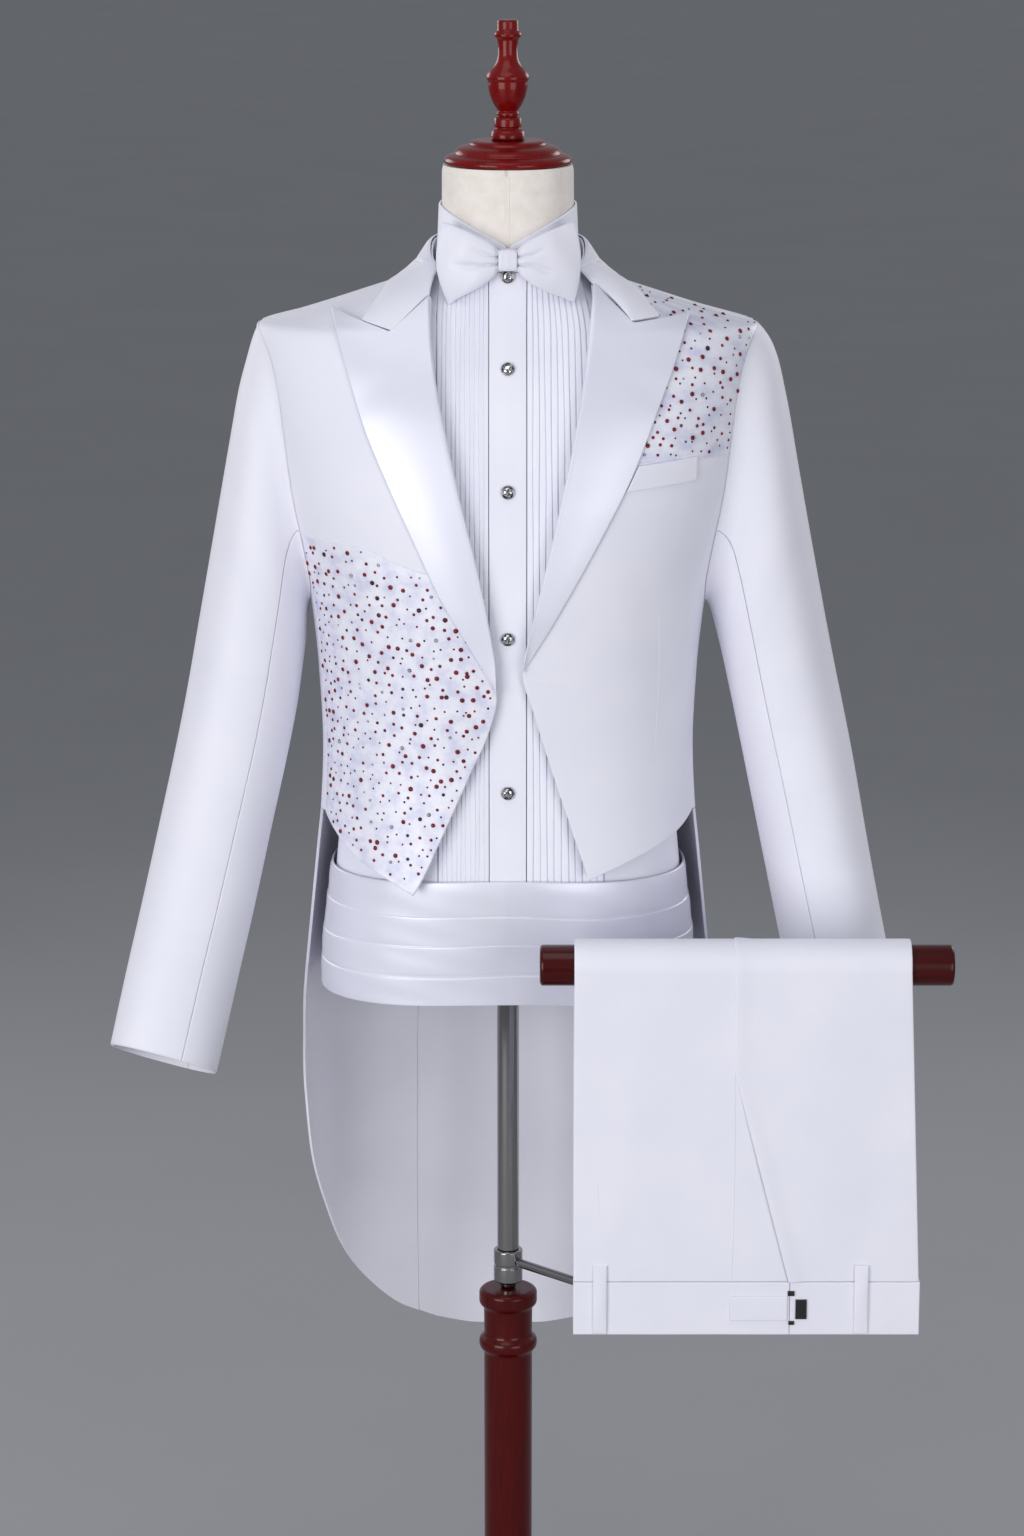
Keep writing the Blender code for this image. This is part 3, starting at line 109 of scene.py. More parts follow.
class Graph:
    """One material's node tree round its main shader."""

    def __init__(self, name: str) -> None:
        """Starts a material.

        Args:
            name: the material's name.
        """
        self.material = bpy.data.materials.new(name)
        self.material.use_nodes = True
        self.tree = self.material.node_tree
        self.shader = self.tree.nodes["Principled BSDF"]

    def _feed(self, socket: bpy.types.NodeSocket, value: object) -> None:
        """Links a shade to a socket, or sets the socket's number."""
        if isinstance(value, Shade):
            self.tree.links.new(value.socket, socket)
        else:
            socket.default_value = value

    def node(self, kind: str, settings: Optional[dict] = None, inputs: Optional[dict] = None,
             output: int = 0) -> Shade:
        """Adds any node.

        Args:
            kind: the node's type.
            settings: its own properties, set first; "stops" gives a ramp's colours.
            inputs: values or shades by socket name or number.
            output: the number of the output that is returned.

        Returns:
            The output as a shade.
        """
        made = self.tree.nodes.new(kind)
        for key, value in (settings or {}).items():
            if key == "stops":
                ramp = made.color_ramp
                while len(ramp.elements) < len(value):
                    ramp.elements.new(0.5)
                for element, (place, colour) in zip(ramp.elements, value):
                    element.position = place
                    element.color = (*colour, 1)
            else:
                setattr(made, key, value)
        for key, value in (inputs or {}).items():
            self._feed(made.inputs[key], value)
        return Shade(self, made.outputs[output])

    def maths(self, operation: str, *values: object) -> Shade:
        """Adds a Math node.

        Args:
            operation: the node's operation.
            values: its operands.

        Returns:
            The result.
        """
        return self.node("ShaderNodeMath", {"operation": operation}, dict(enumerate(values)))

    def blend(self, factor: object, first: object, second: object) -> Shade:
        """Mixes two colours.

        Args:
            factor: share of the second colour.
            first: the colour at zero.
            second: the colour at one.

        Returns:
            The mixed colour.
        """
        tinted = [(*c, 1) if isinstance(c, tuple) else c for c in (first, second)]
        return self.node("ShaderNodeMix", {"data_type": "RGBA"}, {0: factor, 6: tinted[0], 7: tinted[1]}, 2)

    def cloth_place(self) -> Shade:
        """Places on the cloth, in metres along its own width and length."""
        return self.node("ShaderNodeUVMap", {"uv_map": "cloth"})

    def object_place(self) -> Shade:
        """Places in the object's own frame."""
        return self.node("ShaderNodeTexCoord", None, None, 3)

    def scaled(self, place: Shade, scale: tuple[float, float, float]) -> Shade:
        """Stretches a place by a scale along each axis."""
        return self.node("ShaderNodeMapping", None, {0: place, "Scale": scale})

    def noise(self, place: Shade, scale: float, detail: float = 2.0, rough: float = 0.5) -> Shade:
        """Noise of a scale, from 0 to 1."""
        return self.node("ShaderNodeTexNoise", None,
                         {"Vector": place, "Scale": scale, "Detail": detail, "Roughness": rough})

    def split(self, place: Shade) -> tuple[Shade, Shade, Shade]:
        """The three numbers of a place."""
        made = self.tree.nodes.new("ShaderNodeSeparateXYZ")
        self._feed(made.inputs[0], place)
        return tuple(Shade(self, made.outputs[i]) for i in range(3))

    def bump(self, height: Shade, distance: float, strength: float = 1.0) -> None:
        """Raises the surface's shading by a height map.

        Args:
            height: the map, from 0 to 1.
            distance: metres that 1 stands for.
            strength: share of the effect.
        """
        raised = self.node("ShaderNodeBump", None,
                           {"Height": height, "Distance": distance, "Strength": strength})
        self.put("Normal", raised)

    def put(self, socket: str, value: object) -> None:
        """Feeds or sets one socket of the main shader."""
        if isinstance(value, tuple) and len(value) == 3:
            value = (*value, 1)
        self._feed(self.shader.inputs[socket], value)


class Weave(Enum):
    """How the threads of a cloth lie."""

    TWILL = "twill"
    PLAIN = "plain"
    SATIN = "satin"


@dataclass(frozen=True)
class ClothFinish:
    """A woven cloth: two near colours, a thread pattern and how it shines."""

    name: str
    slot: str
    light: tuple[float, float, float]
    shade: tuple[float, float, float]
    weave: Weave
    thread: float
    relief: float
    rough: float
    rough_play: float = 0.08
    mottle: float = 9.0
    sheen: float = 0.25
    coat: float = 0.0
    figure: float = 0.0
    flecks: float = 0.0
    lustre: float = 0.0

    def threads(self, graph: Graph, place: Shade) -> Shade:
        """The weave's height.

        Twill is a sine along the diagonal, plain weave a product of two sines, and satin long
        streaks of noise.

        Args:
            graph: the node graph.
            place: places on the cloth, in metres.

        Returns:
            The height, about 0 to 1.
        """
        across, along, _ = graph.split(place)
        turn = 2 * math.pi / self.thread
        if self.weave is Weave.TWILL:
            pattern = ((across + along) * turn).sine() * 0.35 + 0.5
            return pattern + graph.noise(place, 900, 2) * 0.4
        if self.weave is Weave.PLAIN:
            pattern = (across * turn).sine() * (along * turn).sine() * 0.35 + 0.5
            return pattern + graph.noise(place, 700, 3) * 0.5
        streak = graph.scaled(place, (1 / self.thread, 0.06 / self.thread, 1))
        return graph.noise(streak, 1.0, 3, 0.6)

    def build(self) -> bpy.types.Material:
        """Makes the material.

        Returns:
            The material.
        """
        graph = Graph(self.name)
        place = graph.cloth_place()
        cloud = graph.noise(place, self.mottle, 3, 0.55)
        spread = graph.node("ShaderNodeMapRange", None,
                            {"Value": cloud, "From Min": 0.34, "From Max": 0.66,
                             "To Min": 0.0, "To Max": 1.0})
        colour = graph.blend(spread, self.light, self.shade)
        height = self.threads(graph, place)
        if self.figure:
            swirl = graph.noise(graph.scaled(place, (1, 1, 1)), 62, 4, 0.6)
            band = ((swirl * 22).sine() * 0.5 + 0.5) * self.figure
            colour = graph.blend(band, colour, self.shade)
            height = height + band * 0.8
        if self.flecks:
            fleck = graph.noise(graph.scaled(place, (1, 0.3, 1)), 420, 2, 0.7)
            dots = graph.node("ShaderNodeMapRange", None,
                              {"Value": fleck, "From Min": 0.66, "From Max": 0.78, "To Min": 0.0,
                               "To Max": self.flecks})
            colour = graph.blend(dots, colour, (0.36, 0.30, 0.22))
        graph.put("Base Color", colour)
        play = graph.noise(place, 30, 2) * self.rough_play
        graph.put("Roughness", play + (self.rough - self.rough_play / 2))
        graph.put("Sheen Weight", self.sheen)
        graph.put("Sheen Roughness", 0.4)
        graph.put("Coat Weight", self.coat)
        graph.put("Coat Roughness", 0.32)
        graph.put("Metallic", self.lustre)
        graph.put("Specular IOR Level", 0.42)
        graph.bump(height, self.relief)
        return graph.material


@dataclass(frozen=True)
class WoodFinish:
    """Turned wood under a dark red gloss stain, with its grain along one axis."""

    name: str
    slot: str
    along: tuple[float, float, float] = (60.0, 60.0, 5.0)
    # Scales the stain's colours; below 1 it is painted shade, a darker copy of the one stain.
    depth: float = 1.0

    def build(self) -> bpy.types.Material:
        """Makes the material: streaks of stretched noise under a clear coat.

        Returns:
            The material.
        """
        graph = Graph(self.name)
        place = graph.object_place()
        grain = graph.noise(graph.scaled(place, self.along), 4.0, 5, 0.62)
        cloud = graph.noise(place, 14, 2)
        stops = ((0.3, (0.14, 0.0012, 0.0010)), (0.5, (0.18, 0.002, 0.0015)), (0.72, (0.23, 0.004, 0.002)))
        stops = tuple((at, tuple(part * self.depth for part in colour)) for at, colour in stops)
        ramp = graph.node("ShaderNodeValToRGB", {"stops": stops}, {0: grain})
        deep = tuple(c * self.depth for c in (0.12, 0.001, 0.001))
        graph.put("Base Color", graph.blend(cloud * 0.4, ramp, deep))
        graph.put("Roughness", grain * 0.1 + 0.24)
        graph.put("Specular IOR Level", 0.15)
        graph.put("Coat Weight", 0.28)
        graph.put("Coat Roughness", 0.08)
        graph.bump(grain, 0.00003)
        return graph.material


@dataclass(frozen=True)
class MetalFinish:
    """A metal with fine marks in its polish."""

    name: str
    slot: str
    colour: tuple[float, float, float]
    rough: float
    metallic: float = 1.0

    def build(self) -> bpy.types.Material:
        """Makes the material: roughness follows a fine, stretched noise.

        Returns:
            The material.
        """
        graph = Graph(self.name)
        place = graph.object_place()
        marks = graph.noise(graph.scaled(place, (260, 260, 18)), 3.0, 3)
        cloud = graph.noise(place, 22, 3)
        dull = tuple(c * 0.86 for c in self.colour)
        graph.put("Base Color", graph.blend(cloud, self.colour, dull))
        graph.put("Roughness", marks * 0.07 + cloud * 0.05 + self.rough)
        graph.put("Metallic", self.metallic)
        graph.bump(marks, 0.00001)
        return graph.material


@dataclass(frozen=True)
class StoneFinish:
    """Faceted stones: a tint for each stone and a painted reflection for each facet, which darkens it."""

    name: str
    slot: str
    stops: tuple
    metallic: float = 0.0
    rough: float = 0.2
    coat: float = 0.1
    gleam: float = 0.3

    def build(self) -> bpy.types.Material:
        """Makes the material from the mesh's own tint and its painted facet reflections.

        Returns:
            The material.
        """
        graph = Graph(self.name)
        tint = graph.node("ShaderNodeAttribute", {"attribute_name": "tint"}, None, 2)
        facet = graph.node("ShaderNodeAttribute", {"attribute_name": "facet"}, None, 2)
        ramp = graph.node("ShaderNodeValToRGB", {"stops": self.stops}, {0: tint})
        # Painted reflection: the facet value blends each face toward near black, standing in for facets that
        # mirror dark surroundings.
        graph.put("Base Color", graph.blend(facet, ramp, (0.015, 0.005, 0.008)))
        graph.put("Roughness", facet * 0.06 + self.rough)
        graph.put("Metallic", self.metallic)
        graph.put("Coat Weight", self.coat)
        graph.put("Coat Roughness", 0.05)
        graph.put("Specular IOR Level", self.gleam)
        return graph.material


SUITING = ClothFinish("suiting", "suit_cloth", (0.85, 0.845, 0.93), (0.81, 0.805, 0.90), Weave.TWILL,
                      0.0011, 0.00007, 0.62)
FACING = ClothFinish("facing_satin", "satin", (0.81, 0.805, 0.91), (0.765, 0.765, 0.88), Weave.SATIN,
                     0.0009, 0.00005, 0.36, mottle=5.0, sheen=0.1, coat=0.22, lustre=0.13)
TIE = ClothFinish("tie_satin", "satin", (0.80, 0.795, 0.88), (0.76, 0.755, 0.85), Weave.SATIN,
                  0.0009, 0.00005, 0.52, mottle=5.0, sheen=0.0, coat=0.06, lustre=0.06)
FIGURED = ClothFinish("figured_satin", "embellished_cloth", (0.91, 0.905, 0.965), (0.66, 0.665, 0.84),
                      Weave.SATIN, 0.0010, 0.00012, 0.42, mottle=62.0, sheen=0.15, coat=0.12, figure=0.2,
                      lustre=0.04)
COTTON = ClothFinish("shirt_cotton", "shirt_cotton", (0.89, 0.89, 0.975), (0.85, 0.85, 0.955), Weave.PLAIN,
                     0.0008, 0.00005, 0.72, mottle=12.0, sheen=0.2)
LINEN = ClothFinish("form_linen", "linen", (0.90, 0.84, 0.79), (0.83, 0.765, 0.70), Weave.PLAIN,
                    0.0016, 0.00018, 0.84, mottle=70.0, sheen=0.3, flecks=0.55)
THREAD = ClothFinish("sewing_thread", "suit_cloth", (0.84, 0.85, 0.90), (0.78, 0.79, 0.86), Weave.SATIN,
                     0.0006, 0.00003, 0.5)
STAINED = WoodFinish("stained_wood", "stained_wood")
# Painted shade: the column and base get the stain at 0.42 of its brightness, and the bar at 0.30.
STAINED_SHADED = WoodFinish("stained_wood_shaded", "stained_wood", depth=0.42)
STAINED_BAR = WoodFinish("stained_wood_bar", "stained_wood", (5.0, 60.0, 60.0), 0.30)
CHROME = MetalFinish("chrome", "chrome", (0.40, 0.39, 0.39), 0.03)
BLACK_METAL = MetalFinish("black_metal", "black_metal", (0.012, 0.012, 0.014), 0.3, 0.0)
GARNET = StoneFinish("garnet_stones", "embellished_cloth", (
    (0.0, (0.40, 0.001, 0.008)), (0.45, (0.20, 0.0006, 0.005)), (0.70, (0.022, 0.004, 0.008)),
    (0.92, (0.55, 0.55, 0.62))))
CRYSTAL = StoneFinish("crystal_studs", "studs", ((0.0, (0.97, 0.97, 0.98)), (1.0, (0.66, 0.67, 0.69))), 0.8,
                      0.1, 0.6, 0.6)


# Surface mathematics.


def circle(count: int) -> Grid:
    """Even turns round a full circle."""
    return np.linspace(0, 2 * math.pi, count, endpoint=False)


def unit(vectors: Grid) -> Grid:
    """The vectors, made one long."""
    return vectors / np.maximum(np.linalg.norm(vectors, axis=-1, keepdims=True), 1e-12)


def stacked(*columns: Grid) -> Grid:
    """Places from their columns, which are spread to one shape."""
    return np.stack(np.broadcast_arrays(*columns), -1)


def squared(turn: Grid, power: float) -> Grid:
    """A squared circle's radius at a turn: the sum of the powers of its cosine and sine, to the root."""
    return (np.abs(np.cos(turn)) ** power + np.abs(np.sin(turn)) ** power) ** (-1 / power)


def eased(xs: Sequence[float], ys: Sequence[float], x: Grid) -> Grid:
    """A monotone cubic through a table: each row's slope is the harmonic mean of its neighbours' slopes.

    Args:
        xs: rising values.
        ys: their results.
        x: where to look.

    Returns:
        The curve's values there.
    """
    xs, ys = np.asarray(xs, float), np.asarray(ys, float)
    step = np.diff(xs)
    slope = np.diff(ys) / step
    both = slope[:-1] + slope[1:]
    tangent = np.zeros(len(xs))
    tangent[1:-1] = np.where(slope[:-1] * slope[1:] > 0,
                             2 * slope[:-1] * slope[1:] / np.where(both == 0, 1.0, both), 0.0)
    tangent[0], tangent[-1] = slope[0], slope[-1]
    x = np.clip(x, xs[0], xs[-1])
    i = np.clip(np.searchsorted(xs, x) - 1, 0, len(step) - 1)
    t = (x - xs[i]) / step[i]
    return ((1 + 2 * t) * (1 - t) ** 2 * ys[i] + t * (1 - t) ** 2 * step[i] * tangent[i]
            + t * t * (3 - 2 * t) * ys[i + 1] + t * t * (t - 1) * step[i] * tangent[i + 1])


def run_of(line: Grid) -> Grid:
    """The length along a line to each of its places."""
    return np.concatenate([[0], np.cumsum(np.linalg.norm(np.diff(line, axis=0), axis=1))])


def flowing(points: Grid, count: int = 120) -> Grid:
    """A smooth line of a count of places, each column eased over the run along the chords."""
    points = np.asarray(points, float)
    run = run_of(points)
    return np.stack([eased(run, column, np.linspace(0, run[-1], count)) for column in points.T], -1)


def spaced(line: Grid, shares: Grid) -> Grid:
    """A line's places at shares of its length."""
    run = run_of(line)
    return np.stack([np.interp(shares * run[-1], run, column) for column in line.T], -1)


def length_of(line: Grid) -> float:
    """A line's length."""
    return float(np.linalg.norm(np.diff(line, axis=0), axis=1).sum())


def shares_for(length: float, step: float = STEP) -> Grid:
    """Even shares of a length, with closer ones at both ends where an edge turns in.

    Args:
        length: metres.
        step: metres between places.

    Returns:
        Rising shares from 0 to 1.
    """
    near = np.array([0.0, 0.0003, 0.0007, 0.0016]) / length
    middle = np.linspace(near[-1] * 1.6, 1 - near[-1] * 1.6, max(int(length / step), 3))
    return np.concatenate([near, middle, 1 - near[::-1]])


def coons(bottom: Grid, top: Grid, left: Grid, right: Grid, upward: Grid, across: Grid) -> Grid:
    """A grid filled in between four edges: both rulings, less the corners' bilinear part.

    Args:
        bottom: the edge at the start of upward, from left to right.
        top: the edge at its end.
        left: the edge at the start of across, from bottom to top.
        right: the edge at its end.
        upward: shares from bottom to top.
        across: shares from left to right.

    Returns:
        The grid, rows upward.
    """
    low, high = spaced(bottom, across)[None], spaced(top, across)[None]
    start, end = spaced(left, upward)[:, None], spaced(right, upward)[:, None]
    u, v = across[None, :, None], upward[:, None, None]
    corners = ((1 - u) * (1 - v) * low[:, :1] + u * (1 - v) * low[:, -1:]
               + (1 - u) * v * high[:, :1] + u * v * high[:, -1:])
    return (1 - v) * low + v * high + (1 - u) * start + u * end - corners


def edge_distance(grid: Grid, closed: bool = False) -> Grid:
    """How far each place of a grid is from its edges, along its rows unless closed, and its columns."""
    up = np.cumsum(np.linalg.norm(np.diff(grid, axis=0, prepend=grid[:1]), axis=-1), axis=0)
    near = np.minimum(up, up[-1:] - up)
    if not closed:
        side = np.cumsum(np.linalg.norm(np.diff(grid, axis=1, prepend=grid[:, :1]), axis=-1), axis=1)
        near = np.minimum(near, np.minimum(side, side[:, -1:] - side))
    return near


def turned_in(distance: Grid, radius: float = EDGE_ROUND) -> Grid:
    """How deep a rounded edge lies: a quarter circle from the edge to its radius."""
    reach = np.clip(1 - distance / radius, 0, 1)
    return radius * (1 - np.sqrt(np.clip(1 - reach ** 2, 0, 1)))


def drawn_in(grid: Grid, gap: float = SEAM) -> Grid:
    """The grid with its four edges pulled in by half a seam."""
    grid = grid.copy()
    for _ in range(2):
        for edge, inner in ((0, 1), (-1, -2)):
            step = grid[inner] - grid[edge]
            reach = np.maximum(np.linalg.norm(step, axis=-1, keepdims=True), 1e-9)
            grid[edge] += step / reach * np.minimum(gap / 2, reach * 0.45)
        grid = np.swapaxes(grid, 0, 1)
    return grid


def creases(table: Sequence[tuple], across: Grid, along: Grid) -> Grid:
    """Soft ridges and troughs: each is a long bell curve, turned by its lean.

    Args:
        table: rows of middle across, middle along, half length, half width, rise, lean in degrees;
            lengths in millimetres.
        across: places across the cloth, in metres.
        along: places along it.

    Returns:
        Metres of rise.
    """
    rise = np.zeros(np.broadcast(across, along).shape)
    for u, v, reach, width, height, lean in table:
        turn, du, dv = math.radians(lean), across - u * MM, along - v * MM
        lengthways = (dv * math.cos(turn) + du * math.sin(turn)) / (reach * MM)
        sideways = (du * math.cos(turn) - dv * math.sin(turn)) / (width * MM)
        rise += height * MM * np.exp(-lengthways ** 2 - sideways ** 2)
    return rise


class Body:
    """A standing surface through a table of rings, each a squared oval."""

    def __init__(self, rings: Sequence[tuple]) -> None:
        """Keeps the rings: height, half width, front depth and back depth, in millimetres."""
        self.z, self.half, self.front, self.back = np.array(rings, float).T * MM

    def point(self, angle: Grid, z: Grid) -> Grid:
        """Places at an angle round from the front and a height, on the squared oval of that height."""
        half = eased(self.z, self.half, z)
        depth = np.where(np.cos(angle) > 0, eased(self.z, self.front, z), eased(self.z, self.back, z))
        across = (np.abs(np.sin(angle)) / half) ** SQUARENESS
        along = (np.abs(np.cos(angle)) / depth) ** SQUARENESS
        radius = (across + along) ** (-1 / SQUARENESS)
        return stacked(radius * np.sin(angle), -radius * np.cos(angle), z)

    def lifted(self, angle: Grid, z: Grid, lift: Grid) -> Grid:
        """The same places moved out along the surface's normal."""
        angle, z, lift = np.broadcast_arrays(angle, z, lift)
        around = self.point(angle + TINY, z) - self.point(angle - TINY, z)
        upward = self.point(angle, z + TINY) - self.point(angle, z - TINY)
        return self.point(angle, z) + unit(np.cross(around, upward)) * lift[..., None]

    def angle_at(self, x: Grid, z: Grid) -> Grid:
        """The angle of the front place with this x and height."""
        half = eased(self.z, self.half, z)
        share = np.clip(1 - (np.abs(x) / half) ** SQUARENESS, 0, 1) ** (1 / SQUARENESS)
        return np.arctan2(x, eased(self.z, self.front, z) * share)

    def domain(self, edge: Sequence[tuple]) -> Grid:
        """An edge's x, z millimetres as metres round the body and heights."""
        edge = np.array(edge, float) * MM
        return np.stack([self.angle_at(edge[:, 0], edge[:, 1]) * DOMAIN_RADIUS, edge[:, 1]], -1)


def spot(degrees: float, z: float) -> Grid:
    """One place in a body's domain, from degrees and metres."""
    return np.array([[math.radians(degrees) * DOMAIN_RADIUS, z]])


# Mesh making.


def wrapped(rows: Grid) -> Grid:
    """Rows whose first column comes again at their end."""
    return np.concatenate([rows, rows[:, :1]], axis=1)


def quads(first: Grid, second: Grid, third: Grid, fourth: Grid) -> Grid:
    """Four-sided faces from four equal arrays of vertex numbers."""
    return np.stack([first.ravel(), second.ravel(), third.ravel(), fourth.ravel()], -1)


def web(number: Grid) -> Grid:
    """The four-sided faces of a grid of vertex numbers."""
    return quads(number[:-1, :-1], number[:-1, 1:], number[1:, 1:], number[1:, :-1])


def halved(faces: Grid) -> Grid:
    """Triangles of four-sided faces; a face whose last two corners are one gives one triangle."""
    split = faces[:, 2] == faces[:, 3]
    return np.concatenate([faces[split][:, :3], faces[~split][:, :3], faces[~split][:, [0, 2, 3]]])


def mesh_object(name: str, vertices: Grid, faces: Grid, places: Optional[Grid] = None,
                smooth: bool = True) -> bpy.types.Object:
    """A mesh object whose faces point outward, which the sign of its volume shows.

    Args:
        name: the object's name.
        vertices: places, one a row.
        faces: three or four vertex numbers a row.
        places: the cloth place of each vertex, in metres.
        smooth: whether its shading runs on between faces.

    Returns:
        The object.
    """
    corner, sides = vertices[faces], faces.shape[1]
    volume = sum(np.einsum("ij,ij->i", corner[:, 0], np.cross(corner[:, i], corner[:, i + 1])).sum()
                 for i in range(1, sides - 1))
    if volume < 0:
        faces = faces[:, ::-1]
    mesh = bpy.data.meshes.new(name)
    mesh.vertices.add(len(vertices))
    mesh.vertices.foreach_set("co", vertices.astype(np.float32).ravel())
    mesh.loops.add(faces.size)
    mesh.loops.foreach_set("vertex_index", faces.astype(np.int32).ravel())
    mesh.polygons.add(len(faces))
    mesh.polygons.foreach_set("loop_start", np.arange(0, faces.size, sides, dtype=np.int32))
    mesh.update(calc_edges=True)
    mesh.validate()
    layer = mesh.uv_layers.new(name="cloth")
    if places is not None and len(mesh.loops) == faces.size:
        layer.data.foreach_set("uv", places[faces.ravel()].astype(np.float32).ravel())
    if smooth:
        mesh.shade_smooth()
        mesh.set_sharp_from_angle(angle=math.radians(SHARP_DEGREES))
    obj = bpy.data.objects.new(name, mesh)
    bpy.context.scene.collection.objects.link(obj)
    return obj


@dataclass
class Heap:
    """Vertices and faces of many small shapes that become one mesh."""

    vertices: list = field(default_factory=list)
    faces: list = field(default_factory=list)
    count: int = 0

    def add(self, vertices: Grid, faces: Grid) -> None:
        """Adds one shape's places and its rows of four vertex numbers."""
        self.vertices.append(vertices)
        self.faces.append(faces + self.count)
        self.count += len(vertices)

    def mesh(self, name: str) -> bpy.types.Object:
        """One mesh object of all the shapes."""
        vertices = np.concatenate(self.vertices)
        return mesh_object(name, vertices, np.concatenate(self.faces), np.zeros((len(vertices), 2)))


def wall(outer: Grid, inner: Grid, closed: bool = False) -> tuple[Grid, Grid]:
    """A closed wall between two equal grids.

    Args:
        outer: the grid that shows.
        inner: the grid behind it.
        closed: whether the rows run all the way round.

    Returns:
        Vertices and faces.
    """
    number = np.arange(outer[..., 0].size).reshape(outer.shape[:2])
    deep = number + number.size
    if closed:
        number, deep = wrapped(number), wrapped(deep)
    faces = [
        web(number), quads(deep[:-1, :-1], deep[1:, :-1], deep[1:, 1:], deep[:-1, 1:]),
        quads(number[0, 1:], number[0, :-1], deep[0, :-1], deep[0, 1:]),
        quads(number[-1, :-1], number[-1, 1:], deep[-1, 1:], deep[-1, :-1]),
    ]
    if not closed:
        faces.append(quads(number[:-1, 0], number[1:, 0], deep[1:, 0], deep[:-1, 0]))
        faces.append(quads(number[1:, -1], number[:-1, -1], deep[:-1, -1], deep[1:, -1]))
    return np.concatenate([outer.reshape(-1, 3), inner.reshape(-1, 3)]), np.concatenate(faces)


def frame_of(along: Grid, flip: float = 1.0) -> tuple[Grid, Grid]:
    """Two unit vectors across each direction, the first one level unless the direction is upright."""
    up = np.where(np.abs(along[:, 2:3]) > 0.9, np.array([[1.0, 0, 0]]), np.array([[0, 0, 1.0]]))
    first = unit(np.cross(along, up) * flip)
    return first, np.cross(along, first)


def tube_path(path: Grid, radius: float, sides: int = 6) -> tuple[Grid, Grid]:
    """A tube along a path, its ends closed to points: rings across the path's direction.

    Args:
        path: places along it.
        radius: the tube's radius.
        sides: faces round it.

    Returns:
        Vertices and four-sided faces.
    """
    first, second = frame_of(unit(np.gradient(path, axis=0)))
    turn = circle(sides)
    rings = path[:, None] + radius * (
        np.cos(turn)[None, :, None] * first[:, None] + np.sin(turn)[None, :, None] * second[:, None])
    tip, tail = (np.repeat(path[i][None, None], sides, 1) for i in (0, -1))
    rings = np.concatenate([tip, rings, tail])
    number = wrapped(np.arange(len(rings) * sides).reshape(len(rings), sides))
    return rings.reshape(-1, 3), quads(number[:-1, :-1], number[1:, :-1], number[1:, 1:], number[:-1, 1:])


def turned_mesh(name: str, profile: Sequence[tuple], steps: int = 96,
                reach: float = 0.45) -> bpy.types.Object:
    """A shape turned about the upright axis, each corner of its profile eased by a short parabola.

    Args:
        name: the object's name.
        profile: radius and height in millimetres, from the top of the axis down.
        steps: faces round it.
        reach: share of the shorter neighbour that a corner's easing takes.

    Returns:
        The object.
    """
    points = np.array(profile, float) * MM
    line = [points[:1]]
    for before, corner, after in zip(points[:-2], points[1:-1], points[2:]):
        cut = reach * min(np.linalg.norm(before - corner), np.linalg.norm(after - corner), 0.012)
        start, end = corner + unit(before - corner) * cut, corner + unit(after - corner) * cut
        t = np.linspace(0, 1, 5)[:, None]
        line.append((1 - t) ** 2 * start + 2 * t * (1 - t) * corner + t * t * end)
    line = np.concatenate(line + [points[-1:]])
    turn = circle(steps)
    grid = stacked(line[:, :1] * np.cos(turn), line[:, :1] * np.sin(turn), line[:, 1:])
    number = np.arange(len(line) * steps).reshape(len(line), steps)
    number[0], number[-1] = number[0, 0], number[-1, 0]
    number = wrapped(number)
    top = quads(number[0, :-1], number[1, :-1], number[1, 1:], number[1, 1:])
    low = quads(number[-1, :-1], number[-2, 1:], number[-2, :-1], number[-2, :-1])
    triangles = halved(np.concatenate([web(number[1:-1]), top, low]))
    used, index = np.unique(triangles, return_inverse=True)
    return mesh_object(name, grid.reshape(-1, 3)[used], index.reshape(triangles.shape))


MATERIALS: dict[str, bpy.types.Material] = {}


@dataclass
class Piece:
    """One finished piece and what it is in the model."""

    obj: bpy.types.Object
    finish: object
    nodes: tuple[str, ...] = ()

    def settle(self) -> None:
        """Dresses the piece, makes it ride and hides the solids it stands for."""
        self.obj.data.materials.clear()
        self.obj.data.materials.append(MATERIALS[self.finish.name])
        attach(self.obj, "root")
        if self.nodes:
            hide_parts(*self.nodes)
        LOG.info("piece %s: %d faces", self.obj.name, len(self.obj.data.polygons))


def cut_of(grid: Grid, closed: bool) -> tuple[float, float, float]:
    """A cut's longest row, longest column and area, the sum of its cells' crossed diagonals over two.

    Args:
        grid: places.
        closed: whether the rows run all the way round.

    Returns:
        Width and length in metres and area in square metres, at least 0.3 of their product.
    """
    rows = wrapped(grid) if closed else grid
    width = float(np.linalg.norm(np.diff(rows, axis=1), axis=-1).sum(1).max())
    length = float(np.linalg.norm(np.diff(grid, axis=0), axis=-1).sum(0).max())
    cells = np.cross(rows[1:, 1:] - rows[:-1, :-1], rows[1:, :-1] - rows[:-1, 1:])
    area = float(np.linalg.norm(cells, axis=-1).sum() / 2)
    return width, length, max(min(area, width * length), LEAST_SHARE * width * length)


@dataclass
class Cloth:
    """A sheet of cloth between an outer and an inner grid."""

    name: str
    outer: Grid
    inner: Grid
    places: Grid
    finish: ClothFinish
    held: str = "draped"
    rests_on: tuple[str, ...] = ("dress_form",)
    closed: bool = False
    round_edges: bool = True

    def build(self) -> None:
        """Makes the sheet, its edges turned in, and logs its cut."""
        outer = self.outer
        if self.round_edges:
            outer = outer + unit(self.inner - outer) * turned_in(edge_distance(outer, self.closed))[..., None]
        flat = self.places.reshape(-1, 2)
        obj = mesh_object(f"{self.name}_cloth", *wall(outer, self.inner, self.closed),
                          np.concatenate([flat, flat]))
        Piece(obj, self.finish, (self.name,)).settle()
        width, length, area = cut_of((outer + self.inner) / 2, self.closed)
        LOG.info("sheet %s: %.3f x %.3f m, %.4f m2", self.name, width, length, area)


